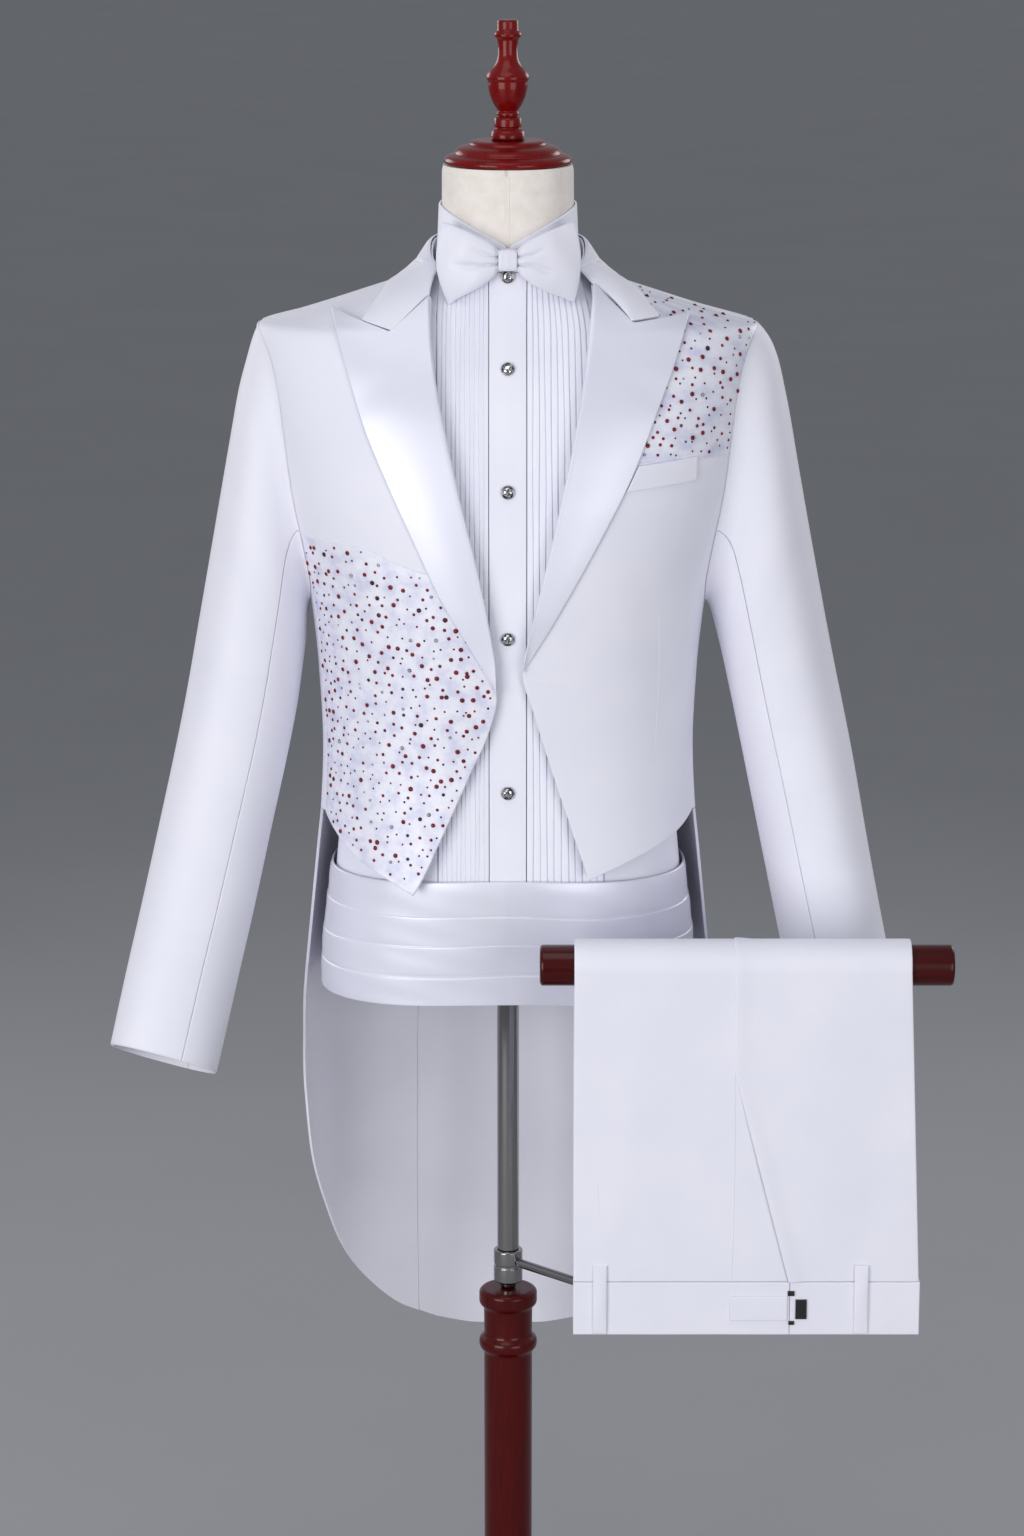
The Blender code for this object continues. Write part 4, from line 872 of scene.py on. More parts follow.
def stitch_heap(path: Grid, out: Grid, pitch: float = 0.0030, radius: float = 0.00024) -> tuple[Grid, Grid]:
    """A row of stitches: short rods with pointed ends, laid along a path and just proud of it.

    Args:
        path: places on the cloth.
        out: the cloth's normal at each place.
        pitch: metres from stitch to stitch, of which THREAD_SHARE is thread.
        radius: the thread's radius.

    Returns:
        Vertices and faces.
    """
    run = run_of(path)
    starts = np.arange(pitch / 2, run[-1] - pitch, pitch)
    at = starts[:, None] + pitch * THREAD_SHARE * np.array([0, 0.3, 0.7, 1])
    place, normal = (np.stack([np.interp(at, run, column) for column in table.T], -1)
                     for table in (path, out))
    side = np.cross(unit(place[:, 3] - place[:, 0])[:, None], normal)
    size = np.array([0.15, 1.0, 1.0, 0.15])[None, :, None] * radius
    turn = np.array([0.25, 0.75, 1.25, 1.75]) * math.pi
    across = np.cos(turn)[:, None] * side[:, :, None] + np.sin(turn)[:, None] * normal[:, :, None]
    rings = (place + normal * radius * 0.6)[:, :, None] + size[..., None] * across
    number = np.arange(len(starts) * 16).reshape(-1, 4, 4)
    around = np.concatenate([number, number[:, :, :1]], axis=2)
    faces = [quads(around[:, :-1, :-1], around[:, :-1, 1:], around[:, 1:, 1:], around[:, 1:, :-1]),
             number[:, 0, ::-1].reshape(-1, 4), number[:, 3].reshape(-1, 4)]
    return rings.reshape(-1, 3), np.concatenate(faces)


# The coat.


@dataclass
class Tailcoat:
    """The tailcoat: panels cut on one surface, satin lapels, collar, sleeves and tails."""

    rings: tuple = (
        (400, 195, 150, 150), (430, 195, 150, 150), (560, 197, 150, 152), (700, 196, 148, 150),
        (800, 189, 143, 146), (900, 180, 136, 138), (950, 175, 131, 131), (1000, 170, 127, 124),
        (1050, 168, 125, 119), (1120, 171, 128, 120), (1160, 174.5, 131, 123), (1200, 180, 134, 126),
        (1240, 191, 135, 129), (1280, 203, 134, 131), (1320, 212, 129, 131), (1360, 219, 121, 128),
        (1400, 224, 107, 121), (1420, 225, 97, 116), (1432, 222, 91, 112), (1440, 194, 86, 106),
        (1450, 161, 80, 99), (1460, 130, 74, 91), (1468, 105, 69, 84), (1476, 83, 66, 77),
        (1485, 69, 64, 70), (1500, 67.2, 62.5, 68.2), (1540, 66.5, 61.5, 67),
    )
    wall: float = 2.4 * MM
    trim_gap: float = 0.5 * MM
    # Front edges seen from the front: x, z in millimetres.
    roll_right: tuple = (
        (-28.5, 1244.3), (-41.4, 1296.6), (-52.6, 1347.6), (-61.3, 1389.2), (-66.7, 1429.9), (-67.9, 1465.1),
    )
    cutaway_right: tuple = (
        (-84.5, 936.9), (-73.6, 957.1), (-60.1, 987.5), (-35.2, 1044.4), (-15.7, 1090.4), (-9.5, 1117.9),
        (-10.4, 1145.3), (-17.3, 1190.8), (-28.5, 1244.3),
    )
    hem_right: tuple = ((-165.5, 995), (-159.4, 986.3), (-137.9, 966.1), (-111, 951), (-84.5, 936.9))
    band_seam: tuple = ((-66, 1230), (-94, 1236.6), (-129.2, 1249.8))
    roll_left: tuple = ((53.5, 1327), (59, 1355.9), (66.9, 1405.5), (71.5, 1445.6), (73.7, 1473.2))
    cutaway_left: tuple = (
        (72.4, 952.2), (55, 1003.1), (39.8, 1048.8), (22.1, 1106.8), (12.8, 1140.7), (19.4, 1177.2),
        (28.9, 1217.6), (39.2, 1261.8), (50.4, 1313.6), (53.5, 1327),
    )
    hem_left: tuple = ((72.4, 952.2), (107, 965), (142, 978.7), (162.6, 991), (167, 995))
    side_deg: float = 78.0
    back_deg: float = 148.0
    hem_side_z: float = 988 * MM
    neck_z: float = 1483 * MM
    neck_back_z: float = 1484 * MM
    # The armhole: middle height, half height in metres, half angle in degrees.
    arm: tuple = (1307.5 * MM, 122.5 * MM, 16.5)
    arm_power: float = 2.5
    band_side_z: float = 1252 * MM
    yoke_side_z: float = 1324.6 * MM
    back_arm_z: float = 1335 * MM
    # The tail's free edge: degrees round from the front, height in millimetres.
    tail_edge: tuple = (
        (90, 986), (90, 918), (91, 842), (97.8, 756), (102, 702), (106.8, 637), (115, 573), (123, 520),
        (131.8, 482.6), (141.7, 454.5), (148, 445),
    )
    tail_corner: int = 7
    tail_bottom: tuple = ((148, 445), (155, 436.8), (169.5, 428.6), (179.2, 428))
    # Lapels from the break up: roll x, roll z, edge x, edge z, in millimetres.
    lapel_right: tuple = (
        (-10, 1121, -12.5, 1129), (-10.4, 1145.3, -34.8, 1167.8), (-17.3, 1190.8, -59.1, 1209.7),
        (-28.5, 1244.3, -80.7, 1256.1), (-41.4, 1296.6, -102.3, 1303.3), (-52.6, 1347.6, -124, 1353.8),
        (-61.3, 1389.2, -139.9, 1403.4), (-66.7, 1429.9, -147.5, 1428), (-67.9, 1462.4, -153.7, 1448.5),
    )
    lapel_left: tuple = (
        (12.6, 1143, 15, 1147.1), (19.4, 1177.2, 34.2, 1177.9), (28.9, 1217.6, 57.6, 1218.7),
        (39.2, 1261.8, 82.7, 1264.9), (50.4, 1313.6, 107.9, 1314.3), (59, 1355.9, 128.7, 1366.3),
        (66.9, 1405.5, 144.6, 1407.3), (71.5, 1445.6, 151.5, 1428), (73.7, 1471, 158, 1444.5),
    )
    notch_right: tuple = (0.40, 21.9)
    notch_left: tuple = (0.42, 18.9)
    # Collar fall from its front end to the middle of the back: fold angle, fold height, middle angle,
    # middle height, middle lift, edge angle, edge height.
    fall_right: tuple = (
        (48, 1464.6, 51.1, 1435.8, 2.9, 62.3, 1442.4), (51, 1470.5, 56, 1451.5, 4.4, 65.5, 1453.8),
        (55.5, 1477.5, 64, 1467, 5.9, 72, 1463.2), (63.5, 1487, 76, 1486, 8.4, 86, 1468.2),
        (78, 1494.4, 88.3, 1485.7, 11, 98, 1470.5), (110, 1505.6, 114, 1492.7, 6.7, 118, 1469.5),
        (145, 1508, 146, 1493.5, 7, 147, 1468), (180, 1509, 180, 1494, 6.5, 180, 1467.5),
    )
    fall_left_front: tuple = (
        (58.1, 1472.7, 55.7, 1442.3, 2.9, 65.2, 1445), (59.5, 1478, 60, 1455.5, 4.4, 68.6, 1454.6),
        (61.5, 1483.5, 67.5, 1469.5, 6.5, 74.5, 1462.2),
    )
    # Sleeve outlines seen from the front: height, x, in millimetres.
    sleeve_out_right: tuple = (
        (786.6, 359.9), (847, 346.5), (907, 332.5), (966.5, 319), (1088, 292.5), (1177, 276.1),
        (1261, 260.7), (1343, 245.6), (1374.5, 239.7), (1398, 233.5), (1416, 228.7), (1430, 222),
    )
    sleeve_in_right: tuple = (
        (759.8, 264.7), (794, 256.5), (840, 245.8), (903.5, 230.7), (966.5, 216.7), (1088, 190.5),
        (1118.6, 186), (1149, 182), (1170, 180.5), (1185, 178.5),
    )
    sleeve_out_left: tuple = (
        (786.6, 361), (820, 354), (880, 342), (960, 326.6), (1048.7, 310.6), (1139, 291.8),
        (1224, 275.1), (1301, 260.6), (1369, 248.2), (1407, 240.2), (1420, 233.5), (1430, 222),
    )
    sleeve_in_left: tuple = (
        (759.8, 273), (820, 259.5), (880, 246.6), (982, 225.4), (1061, 209), (1135, 192.8),
        (1160, 186.5), (1175, 182.5), (1185, 178.5),
    )
    # Sleeve rings: outer height, inner height, middle y, half depth, share taken from the tube.
    sleeve_rings: tuple = (
        (1430, 1185, 0, 54, 0), (1420, 1178, 0, 58, 0.5), (1394, 1170, 0, 63, 0.9),
        (1343, 1153, -1, 67, 1), (1280, 1128, -2, 69, 1), (1200, 1096, -5, 68, 1),
        (1120, 1055, -12, 65, 1), (1040, 998, -24, 61, 1), (955, 923, -41, 55.5, 1),
        (870, 843, -61, 49.5, 1), (786.6, 759.8, -84, 42.5, 1),
    )
    sleeve_wall: float = 2.2 * MM
    sleeve_seam_deg: float = 114.0
    sleeve_power: float = 2.15
    head_gap: float = 0.4 * MM
    head_lap: float = 3.1 * MM
    # The cuff's front edge stands higher than its back edge: rise over reach, and its share by ring.
    cuff_tilt: float = 0.42
    cuff_tilt_shares: tuple = (0, 0, 0, 0, 0, 0, 0.05, 0.2, 0.45, 0.75, 1)
    turn_z: float = 1434.0 * MM
    turn_reach: float = 24.0 * MM
    turn_depth: float = 2.0 * MM
    # Soft ridges and troughs of the body: across, along, half length, half width, rise, lean.
    folds: tuple = (
        (-118, 1165, 70, 16, -1.1, 18), (-150, 1085, 80, 20, 1.4, -8), (140, 1160, 66, 16, -1, -16),
        (178, 1070, 84, 20, 1.4, 6), (-205, 1150, 60, 13, -1.2, 8), (214, 1130, 66, 14, -1.1, -6),
        (-120, 1395, 46, 12, -0.7, 44), (128, 1392, 44, 12, -0.7, -42), (300, 1190, 96, 20, 1.6, 10),
        (-308, 1180, 90, 22, 1.6, -12), (352, 1150, 70, 16, -1.3, -6), (-350, 1120, 76, 18, -1.3, 8),
        (280, 1350, 60, 16, -1.2, 28), (-286, 1356, 58, 16, -1.2, -30), (390, 1390, 52, 18, 1, 60),
        (-396, 1384, 50, 18, 1, -58), (340, 760, 170, 26, 4.4, 3), (-345, 740, 180, 28, 4.6, -3),
        (292, 680, 150, 20, -3.2, -5), (-300, 700, 140, 22, -3.4, 6), (405, 640, 150, 24, -3, 2),
        (-412, 620, 160, 26, -3.2, -2), (-250, 840, 90, 14, 1.4, -6), (252, 830, 96, 14, 1.4, 5),
    )
    def __post_init__(self) -> None:
        """Makes the surface that the panels lie on."""
        self.body = Body(self.rings)
        self.arm_top = self.arm[0] + self.arm[1]

    def relief(self, angle: Grid, z: Grid) -> Grid:
        """The body's soft folds, read round the body from its middle back."""
        across = (np.mod(angle + math.pi, 2 * math.pi) - math.pi) * DOMAIN_RADIUS
        settle = np.clip((1.46 - z) / 0.03, 0, 1)
        # The chest turns into the shoulder by a soft curve, not a crease.
        near = np.clip(1 - np.hypot((z - self.turn_z) / self.turn_reach, 0.12), 0, 1)
        level = np.clip(2.4 * np.abs(np.cos(angle)) - 0.5, 0, 1)
        return creases(self.folds, across, z) * settle - self.turn_depth * near * near * level

    def raised(self, grid: Grid, lift: Grid) -> Grid:
        """Domain places on the coat, with its folds, moved out by a lift."""
        angle = grid[..., 0] / DOMAIN_RADIUS
        return self.body.lifted(angle, grid[..., 1], self.relief(angle, grid[..., 1]) + lift)

    def oval(self, turn: Grid, grow: float = 0) -> tuple[Grid, Grid]:
        """Armhole places: a squared oval's angle toward the front and height, from its top forward."""
        reach = squared(turn, self.arm_power)
        z = self.arm[0] + (self.arm[1] + grow) * np.cos(turn) * reach
        return (math.radians(self.arm[2]) + grow / DOMAIN_RADIUS) * np.sin(turn) * reach, z

    def arm_edge(self, side: int, low: float, high: float, front: bool = True, count: int = 90) -> Grid:
        """The armhole's edge between two heights, rising.

        Args:
            side: -1 for the wearer's right, 1 for the left.
            low: lower height.
            high: upper height.
            front: whether it is the front half.
            count: places on it.

        Returns:
            Domain places.
        """
        offset, z = self.oval(np.linspace(0, math.pi, 2001))
        heights = np.linspace(low, high, count)
        if high >= self.arm_top - 1e-9:
            heights = low + (high - low) * np.sin(np.linspace(0, math.pi / 2, count))
        offset = np.interp(heights, z[::-1], offset[::-1])
        angle = math.pi / 2 + (-offset if front else offset)
        return np.stack([side * angle * DOMAIN_RADIUS, heights], -1)

    def arm_height(self, degrees_off: float) -> float:
        """Height of the armhole's lower half at an angle off the side."""
        share = 1 - (abs(degrees_off) / self.arm[2]) ** self.arm_power
        return self.arm[0] - self.arm[1] * share ** (1 / self.arm_power)

    def panel(self, name: str, edges: tuple, finish: ClothFinish, lifts: tuple[float, float],
              held: str = "draped", rests_on: tuple = ("dress_form",)) -> None:
        """A wall between four edges given bottom, top, left, right.

        Args:
            name: the CAD node that it stands for.
            edges: domain places of the four edges.
            finish: its cloth.
            lifts: the outer and inner face's distance from the coat's surface.
            held: how the cloth hangs; not used.
            rests_on: what it rests on; not used.
        """
        grid = drawn_in(coons(*edges, shares_for(max(length_of(edges[2]), length_of(edges[3]))),
                              shares_for(max(length_of(edges[0]), length_of(edges[1])))))
        Cloth(name, *(self.raised(grid, lift) for lift in lifts), grid, finish, held, rests_on).build()

    def fronts(self) -> None:
        """The four front panels."""
        body, lifts = self.body, (0, -self.wall)
        side_top = self.arm_height(90 - self.side_deg)
        neck = spot(-90, self.neck_z)
        arm = self.arm_edge(-1, self.band_side_z, self.arm_top)
        roll = flowing(np.concatenate([body.domain(self.roll_right), neck]))
        band = flowing(np.concatenate([arm[:1], body.domain(self.band_seam)[::-1], roll[:1]]))
        self.panel("coat_front_plain_r", (band, np.concatenate([arm[-1:], neck]), arm, roll), SUITING, lifts)
        hem = flowing(body.domain(self.hem_right))
        side = np.concatenate([hem[:1], self.arm_edge(-1, side_top, self.band_side_z)])
        cut = flowing(body.domain(self.cutaway_right))
        self.panel("coat_front_embellished_r", (hem, band, side, cut), FIGURED, lifts)
        self.band_line, self.region_right = band, np.concatenate([hem, cut, band[::-1], side[::-1]])
        neck = spot(90, self.neck_z)
        arm = self.arm_edge(1, self.yoke_side_z, self.arm_top)
        roll = flowing(np.concatenate([body.domain(self.roll_left), neck]))
        yoke = np.concatenate([roll[:1], arm[:1]])
        self.panel("coat_yoke_l", (yoke, np.concatenate([neck, arm[-1:]]), roll, arm), FIGURED, lifts)
        self.yoke_line, self.region_left = yoke, np.concatenate([yoke, arm, neck, roll[::-1]])
        hem = flowing(body.domain(self.hem_left))
        side = np.concatenate([hem[-1:], self.arm_edge(1, side_top, self.yoke_side_z)])
        cut = flowing(body.domain(self.cutaway_left))
        self.panel("coat_front_l", (hem, yoke, cut, side), SUITING, lifts)

    def back_seam(self, side: int) -> Grid:
        """The curved seam between a side body and a back: a line with a parabola's bend."""
        top = self.arm_edge(side, self.arm[0] - self.arm[1], self.back_arm_z, front=False)[-1]
        low = spot(side * self.back_deg, self.hem_side_z)[0]
        v = np.linspace(0, 1, 60)[:, None]
        return low + (top - low) * v + np.concatenate([side * 0.055 * v * (1 - v), 0 * v], 1)

    def backs(self) -> None:
        """Side bodies, backs and tail skirts."""
        lifts, arm_low = (0, -self.wall), self.arm[0] - self.arm[1]
        side_top = self.arm_height(90 - self.side_deg)
        for side, end in ((-1, "r"), (1, "l")):
            start = self.body.domain(self.hem_right)[0] if side < 0 else self.body.domain(self.hem_left)[-1]
            front_edge = np.stack([start, spot(side * self.side_deg, side_top)[0]])
            seam = self.back_seam(side)
            rise = self.arm_edge(side, arm_low, self.back_arm_z, front=False)
            top = np.concatenate([self.arm_edge(side, arm_low, side_top)[::-1], rise[1:]])
            bottom = np.stack([start, spot(side * 90, self.hem_side_z)[0], seam[0]])
            self.panel(f"coat_side_{end}", (bottom, top, front_edge, seam), SUITING, lifts)
            edge, foot = (np.concatenate([spot(side * degrees, z * MM) for degrees, z in table])
                          for table in (self.tail_edge, self.tail_bottom))
            skirt_seam = foot[0] + (seam[0] - foot[0]) * np.linspace(0, 1, 9)[:, None]
            arm = self.arm_edge(side, self.back_arm_z, self.arm_top, front=False)
            centre = np.concatenate([foot[-1:], spot(side * 179.93, self.neck_back_z)])
            top = np.concatenate([arm[-1:], spot(side * 90, self.neck_z), centre[-1:]])
            out_side = np.concatenate([skirt_seam, seam[1:], arm[1:]])
            self.panel(f"coat_back_{end}", (flowing(foot), top, out_side, centre), SUITING, lifts, "hung")
            top = np.stack([edge[0], spot(side * self.back_deg, self.hem_side_z - 0.1 * MM)[0]])
            line = flowing(edge, 200)
            corner = int(np.argmin(np.linalg.norm(line - edge[self.tail_corner - 1], axis=1)))
            self.panel(f"tail_skirt_{end}", (line[corner:], top, line[:corner + 1][::-1],
                                             skirt_seam - side * np.array([0.8 * MM, 0])),
                       SUITING, lifts, "hung", (f"coat_side_{end}",))

    def lapel(self, name: str, table: tuple, notch: tuple) -> None:
        """A satin lapel: rulings from the roll to the edge, dipping where the gorge meets the peak.

        Args:
            name: the CAD node that it stands for.
            table: roll and edge places from the break up.
            notch: share across and drop of the dip.
        """
        v, c = shares_for(0.37), shares_for(0.10, STEP * 0.7)
        sides = np.stack([eased(np.linspace(0, 1, len(table)), column, v) for column in zip(*table)], -1)
        roll, edge = sides[:, :2], sides[:, 2:]
        place = roll[:, None] + (edge - roll)[:, None] * c[None, :, None]
        share, drop = notch
        dip = np.where(c < share, c / share, (1 - c) / (1 - share))
        place[..., 1] -= drop * (np.clip((v - 0.78) / 0.22, 0, 1) ** 1.5)[:, None] * dip[None]
        place *= MM
        angle = self.body.angle_at(place[..., 0], place[..., 1])
        grid = drawn_in(np.stack([angle * DOMAIN_RADIUS, place[..., 1]], -1))
        c, v = c[None], v[:, None]
        belly = 1.5 * MM * np.sin(math.pi * c) * np.sin(math.pi * np.clip(v * 1.1, 0, 1))
        rise = self.trim_gap + 2.6 * MM * (1 - c) ** 3 + 3.2 * MM * c * v ** 6 + belly
        outer, inner = self.raised(grid, rise + 2.0 * MM), self.raised(grid, rise)
        roll_off = 1.6 * MM * np.clip(1 - c / 0.03, 0, 1) ** 2
        outer = outer + (inner - outer) / (2.0 * MM) * roll_off[..., None] * 0.7
        Cloth(name, outer, inner, grid, FACING, "folded").build()

    def collar(self) -> None:
        """The collar's fall and its stand: parabolas across, whose ends lie straight."""
        right = np.array(self.fall_right, float)
        left = np.array(self.fall_left_front + self.fall_right[3:], float)[::-1][1:].copy()
        right[:, (0, 2, 5)] *= -1
        left[:, (0, 2, 5)] -= 360
        table = np.concatenate([right, left])
        v, c = shares_for(0.5), shares_for(0.06, STEP * 0.7)[None]
        rows = [eased(np.linspace(0, 1, len(table)), column, v)[:, None] for column in table.T]
        first, middle, last = (1 - c) * (1 - 2 * c), 4 * c * (1 - c), c * (2 * c - 1)
        straight = np.abs(2 * v - 1)[:, None] ** 8
        fold = (np.clip(1 - 2 * c, 0, 1), 1 - np.abs(1 - 2 * c), np.clip(2 * c - 1, 0, 1))
        weights = [straight * f + (1 - straight) * s for f, s in zip(fold, (first, middle, last))]
        angle = np.radians(sum(w * rows[i] for w, i in zip(weights, (0, 2, 5))))
        z = MM * sum(w * rows[i] for w, i in zip(weights, (1, 3, 6)))
        lift = weights[0] * 1.2 * MM + weights[1] * rows[4] * MM + weights[2] * 1.6 * MM
        grid = drawn_in(np.stack([angle * DOMAIN_RADIUS, z], -1))
        Cloth("coat_collar", self.raised(grid, lift + 2.0 * MM), self.raised(grid, lift), grid, SUITING,
              "folded").build()
        angle = np.radians(np.linspace(-66, -294, 120))[None]
        off = np.degrees(np.abs(angle))
        off = np.where(off > 180, 360 - off, off)
        fall = np.array(self.fall_right, float)
        top = eased(fall[:, 0], fall[:, 1], off) * MM - 1.2 * MM
        v = shares_for(0.03)[:, None]
        z = (self.neck_back_z + 0.6 * MM) * (1 - v) + top * v
        grid = stacked(angle * DOMAIN_RADIUS, z)
        Cloth("coat_collar_stand", self.raised(grid, 0.6 * MM), self.raised(grid, -1.0 * MM), grid, SUITING,
              "folded").build()

    def sleeve_grid(self, side: int, turn: Grid, at: Grid, inset: float) -> Grid:
        """Sleeve places: squared ovals between the two outlines, drawn to the armhole at the head.

        Args:
            side: -1 for the wearer's right, 1 for the left.
            turn: turns from the top forward.
            at: places along the table of rings.
            inset: depth under the outer face.

        Returns:
            The grid, a row for each ring.
        """
        lines = ((self.sleeve_out_right, self.sleeve_in_right) if side < 0 else
                 (self.sleeve_out_left, self.sleeve_in_left))
        rings = np.array(self.sleeve_rings, float)
        order = np.arange(len(rings))
        out_z, in_z, mid_y, half = (eased(order, rings[:, i], at)[:, None] * MM for i in range(4))
        share = eased(order, rings[:, 4], at)[:, None]
        out_x, in_x = (eased(*(np.array(line, float).T * MM), z) for line, z in zip(lines, (out_z, in_z)))
        reach = squared(turn, self.sleeve_power)
        lean = 1 - inset / (np.hypot(out_x - in_x, out_z - in_z) / 2)
        x = (out_x + in_x) / 2 + (out_x - in_x) / 2 * lean * np.cos(turn) * reach
        z = (out_z + in_z) / 2 + (out_z - in_z) / 2 * lean * np.cos(turn) * reach
        forward = (half - inset) * np.sin(turn) * reach
        z = z + eased(order, self.cuff_tilt_shares, at)[:, None] * self.cuff_tilt * forward
        offset, height = self.oval(turn, self.head_lap - inset)
        across = side * (math.pi / 2 - offset) * DOMAIN_RADIUS
        hole = self.raised(np.stack([across, height], -1), self.head_gap)
        tube = np.stack([side * x, mid_y - forward, z], -1)
        return hole[None] * (1 - share[..., None]) + tube * share[..., None]

    def sleeves(self) -> None:
        """Top and under sleeves, whose edges meet along two seams."""
        seam, gap = math.radians(self.sleeve_seam_deg), math.radians(0.2)
        at = np.concatenate([np.linspace(0, 2, 26), np.linspace(2, 10, 100)[1:-3],
                             [9.96, 9.985, 10.0]])
        for side, end in ((-1, "r"), (1, "l")):
            for name, low, high in (("sleeve_top", -seam + gap, seam - gap),
                                    ("sleeve_under", seam + gap, 2 * math.pi - seam - gap)):
                turn = low + (high - low) * shares_for(SLEEVE_RADIUS * (high - low))
                outer, inner = (self.sleeve_grid(side, turn, at, inset) for inset in (0, self.sleeve_wall))
                places = stacked(SLEEVE_RADIUS * turn[None], -outer[:, len(turn) // 2, 2][:, None])
                Cloth(f"{name}_{end}", outer, inner, places, SUITING, "hung", (f"coat_side_{end}",)).build()

    def welt(self) -> None:
        """The breast pocket's welt, with its end sewn down."""
        low = self.body.domain(((102.5, 1301.2), (164.6, 1306.8)))
        high = self.body.domain(((113.6, 1323.5), (165.3, 1328)))
        edges = (low, high, np.stack([low[0], high[0]]), np.stack([low[1], high[1]]))
        self.panel("breast_pocket_welt", edges, SUITING, (self.trim_gap + 1.8 * MM, self.trim_gap), "laid",
                   ("coat_front_l",))
        self.sewn("welt_end_stitches", np.stack([low[1], high[1]]) - [0.0022, 0], 2.3 * MM)

    def sewn(self, name: str, line: Grid, lift: float) -> None:
        """A row of stitches on the coat along a domain line."""
        path = spaced(line, np.linspace(0, 1, 80))
        place, above = (self.raised(path[None], level)[0] for level in (lift, lift + MM))
        Piece(mesh_object(name, *stitch_heap(place, (above - place) / MM)), THREAD).settle()

    def corded(self, name: str, line: Grid, radius: float = 0.00042) -> None:
        """A fine raised seam on the coat along a domain line: a thin tube half sunk in the cloth."""
        path = spaced(line, np.linspace(0, 1, 90))
        Piece(mesh_object(name, *tube_path(self.raised(path[None], 0)[0], radius)), THREAD).settle()

    def seam_lines(self) -> None:
        """The raised seams over the set panels, the front dart and the line at the break."""
        self.corded("band_seam_line", self.band_line)
        self.corded("yoke_seam_line", self.yoke_line)
        self.corded("front_dart_line", self.body.domain(
            ((131, 1064), (133.5, 1110), (134.5, 1150), (133, 1188))), 0.00022)
        self.corded("break_line", self.body.domain(((16.5, 1134), (34, 1131.5), (51, 1130))), 0.0003)
        z = np.linspace(0.452, 0.97, 160)
        tapes = Heap()
        for side in (-1, 1):
            grid = np.stack([np.full(160, side * math.radians(self.back_deg) * DOMAIN_RADIUS), z], -1)
            tapes.add(*tube_path(self.raised(grid, 0.35 * MM - self.wall), 0.48 * MM))
        Piece(tapes.mesh("tail_seam_tapes"), SUITING).settle()

    def stones(self) -> None:
        """Faceted stones over the two set panels."""
        StoneField("panel_stones", self, self.region_right, 4168).build()
        StoneField("yoke_stones", self, self.region_left, 4177, 8.3 * MM, 2.6 * MM, 2.2 * MM).build()

    def build(self) -> None:
        """Makes the whole coat."""
        self.fronts()
        self.backs()
        self.lapel("lapel_r", self.lapel_right, self.notch_right)
        self.lapel("lapel_l", self.lapel_left, self.notch_left)
        self.collar()
        self.sleeves()
        self.welt()
        self.seam_lines()
        self.stones()


def inside(region: Grid, places: Grid) -> Grid:
    """Whether places lie inside a closed outline, by counting the edges that a level ray crosses.

    Args:
        region: the outline's places.
        places: the places to test.

    Returns:
        True or false for each.
    """
    start, end = region, np.roll(region, -1, axis=0)
    x, y = places[:, :1], places[:, 1:]
    spans = (start[None, :, 1] > y) != (end[None, :, 1] > y)
    rise = np.where(end[:, 1] == start[:, 1], 1e-12, end[:, 1] - start[:, 1])
    cross = start[None, :, 0] + (y - start[None, :, 1]) * ((end[:, 0] - start[:, 0]) / rise)[None]
    return (spans & (x < cross)).sum(1) % 2 == 1


def away_from(region: Grid, places: Grid) -> Grid:
    """Each place's distance from a closed outline."""
    start, end = region[None], np.roll(region, -1, axis=0)[None]
    step = end - start
    size = np.maximum((step ** 2).sum(-1), 1e-16)
    share = np.clip(((places[:, None] - start) * step).sum(-1) / size, 0, 1)
    return np.linalg.norm(places[:, None] - start - share[..., None] * step, axis=-1).min(1)


def gems(place: Grid, normal: Grid, radius: Grid, spin: Grid, rings: Sequence[tuple], sides: int) -> tuple:
    """Many faceted stones: rings of corners that shrink toward a point over the middle.

    Args:
        place: middles of their undersides.
        normal: the directions that they face.
        radius: their radii.
        spin: turns about the normal.
        rings: share of the radius, height as a share of it, and share of a facet's turn.
        sides: facets round.

    Returns:
        Vertices, triangles, and the number of triangles a stone.
    """
    first, second = frame_of(normal, -1)
    shapes = []
    for share, height, twist in rings:
        turn = spin[:, None] + (np.arange(sides)[None] + twist) * 2 * math.pi / sides
        shapes.append(place[:, None] + radius[:, None, None] * (
            share * (np.cos(turn)[..., None] * first[:, None] + np.sin(turn)[..., None] * second[:, None])
            + height * normal[:, None]))
    ends = [place[:, None] + radius[:, None, None] * rings[i][1] * normal[:, None] for i in (0, -1)]
    every = np.concatenate(shapes + ends, axis=1)
    count = len(rings) * sides
    around = wrapped(np.arange(count).reshape(len(rings), sides))
    a, b, c, d = around[:-1, :-1], around[:-1, 1:], around[1:, 1:], around[1:, :-1]
    tris = [np.stack([a, b, c], -1).reshape(-1, 3), np.stack([a, c, d], -1).reshape(-1, 3),
            np.stack([around[0, 1:], around[0, :-1], np.full(sides, count)], -1),
            np.stack([around[-1, :-1], around[-1, 1:], np.full(sides, count + 1)], -1)]
    one = np.concatenate(tris)
    faces = one[None] + (np.arange(len(place)) * (count + 2))[:, None, None]
    return every.reshape(-1, 3), faces.reshape(-1, 3), len(one)


def stone_values(obj: bpy.types.Object, tint: Grid, facet: Grid) -> None:
    """Writes each face's tint and its painted facet reflection, a darkening, on a mesh."""
    for name, values in (("tint", tint), ("facet", facet)):
        layer = obj.data.attributes.new(name, "FLOAT", "FACE")
        layer.data.foreach_set("value", values.astype(np.float32))


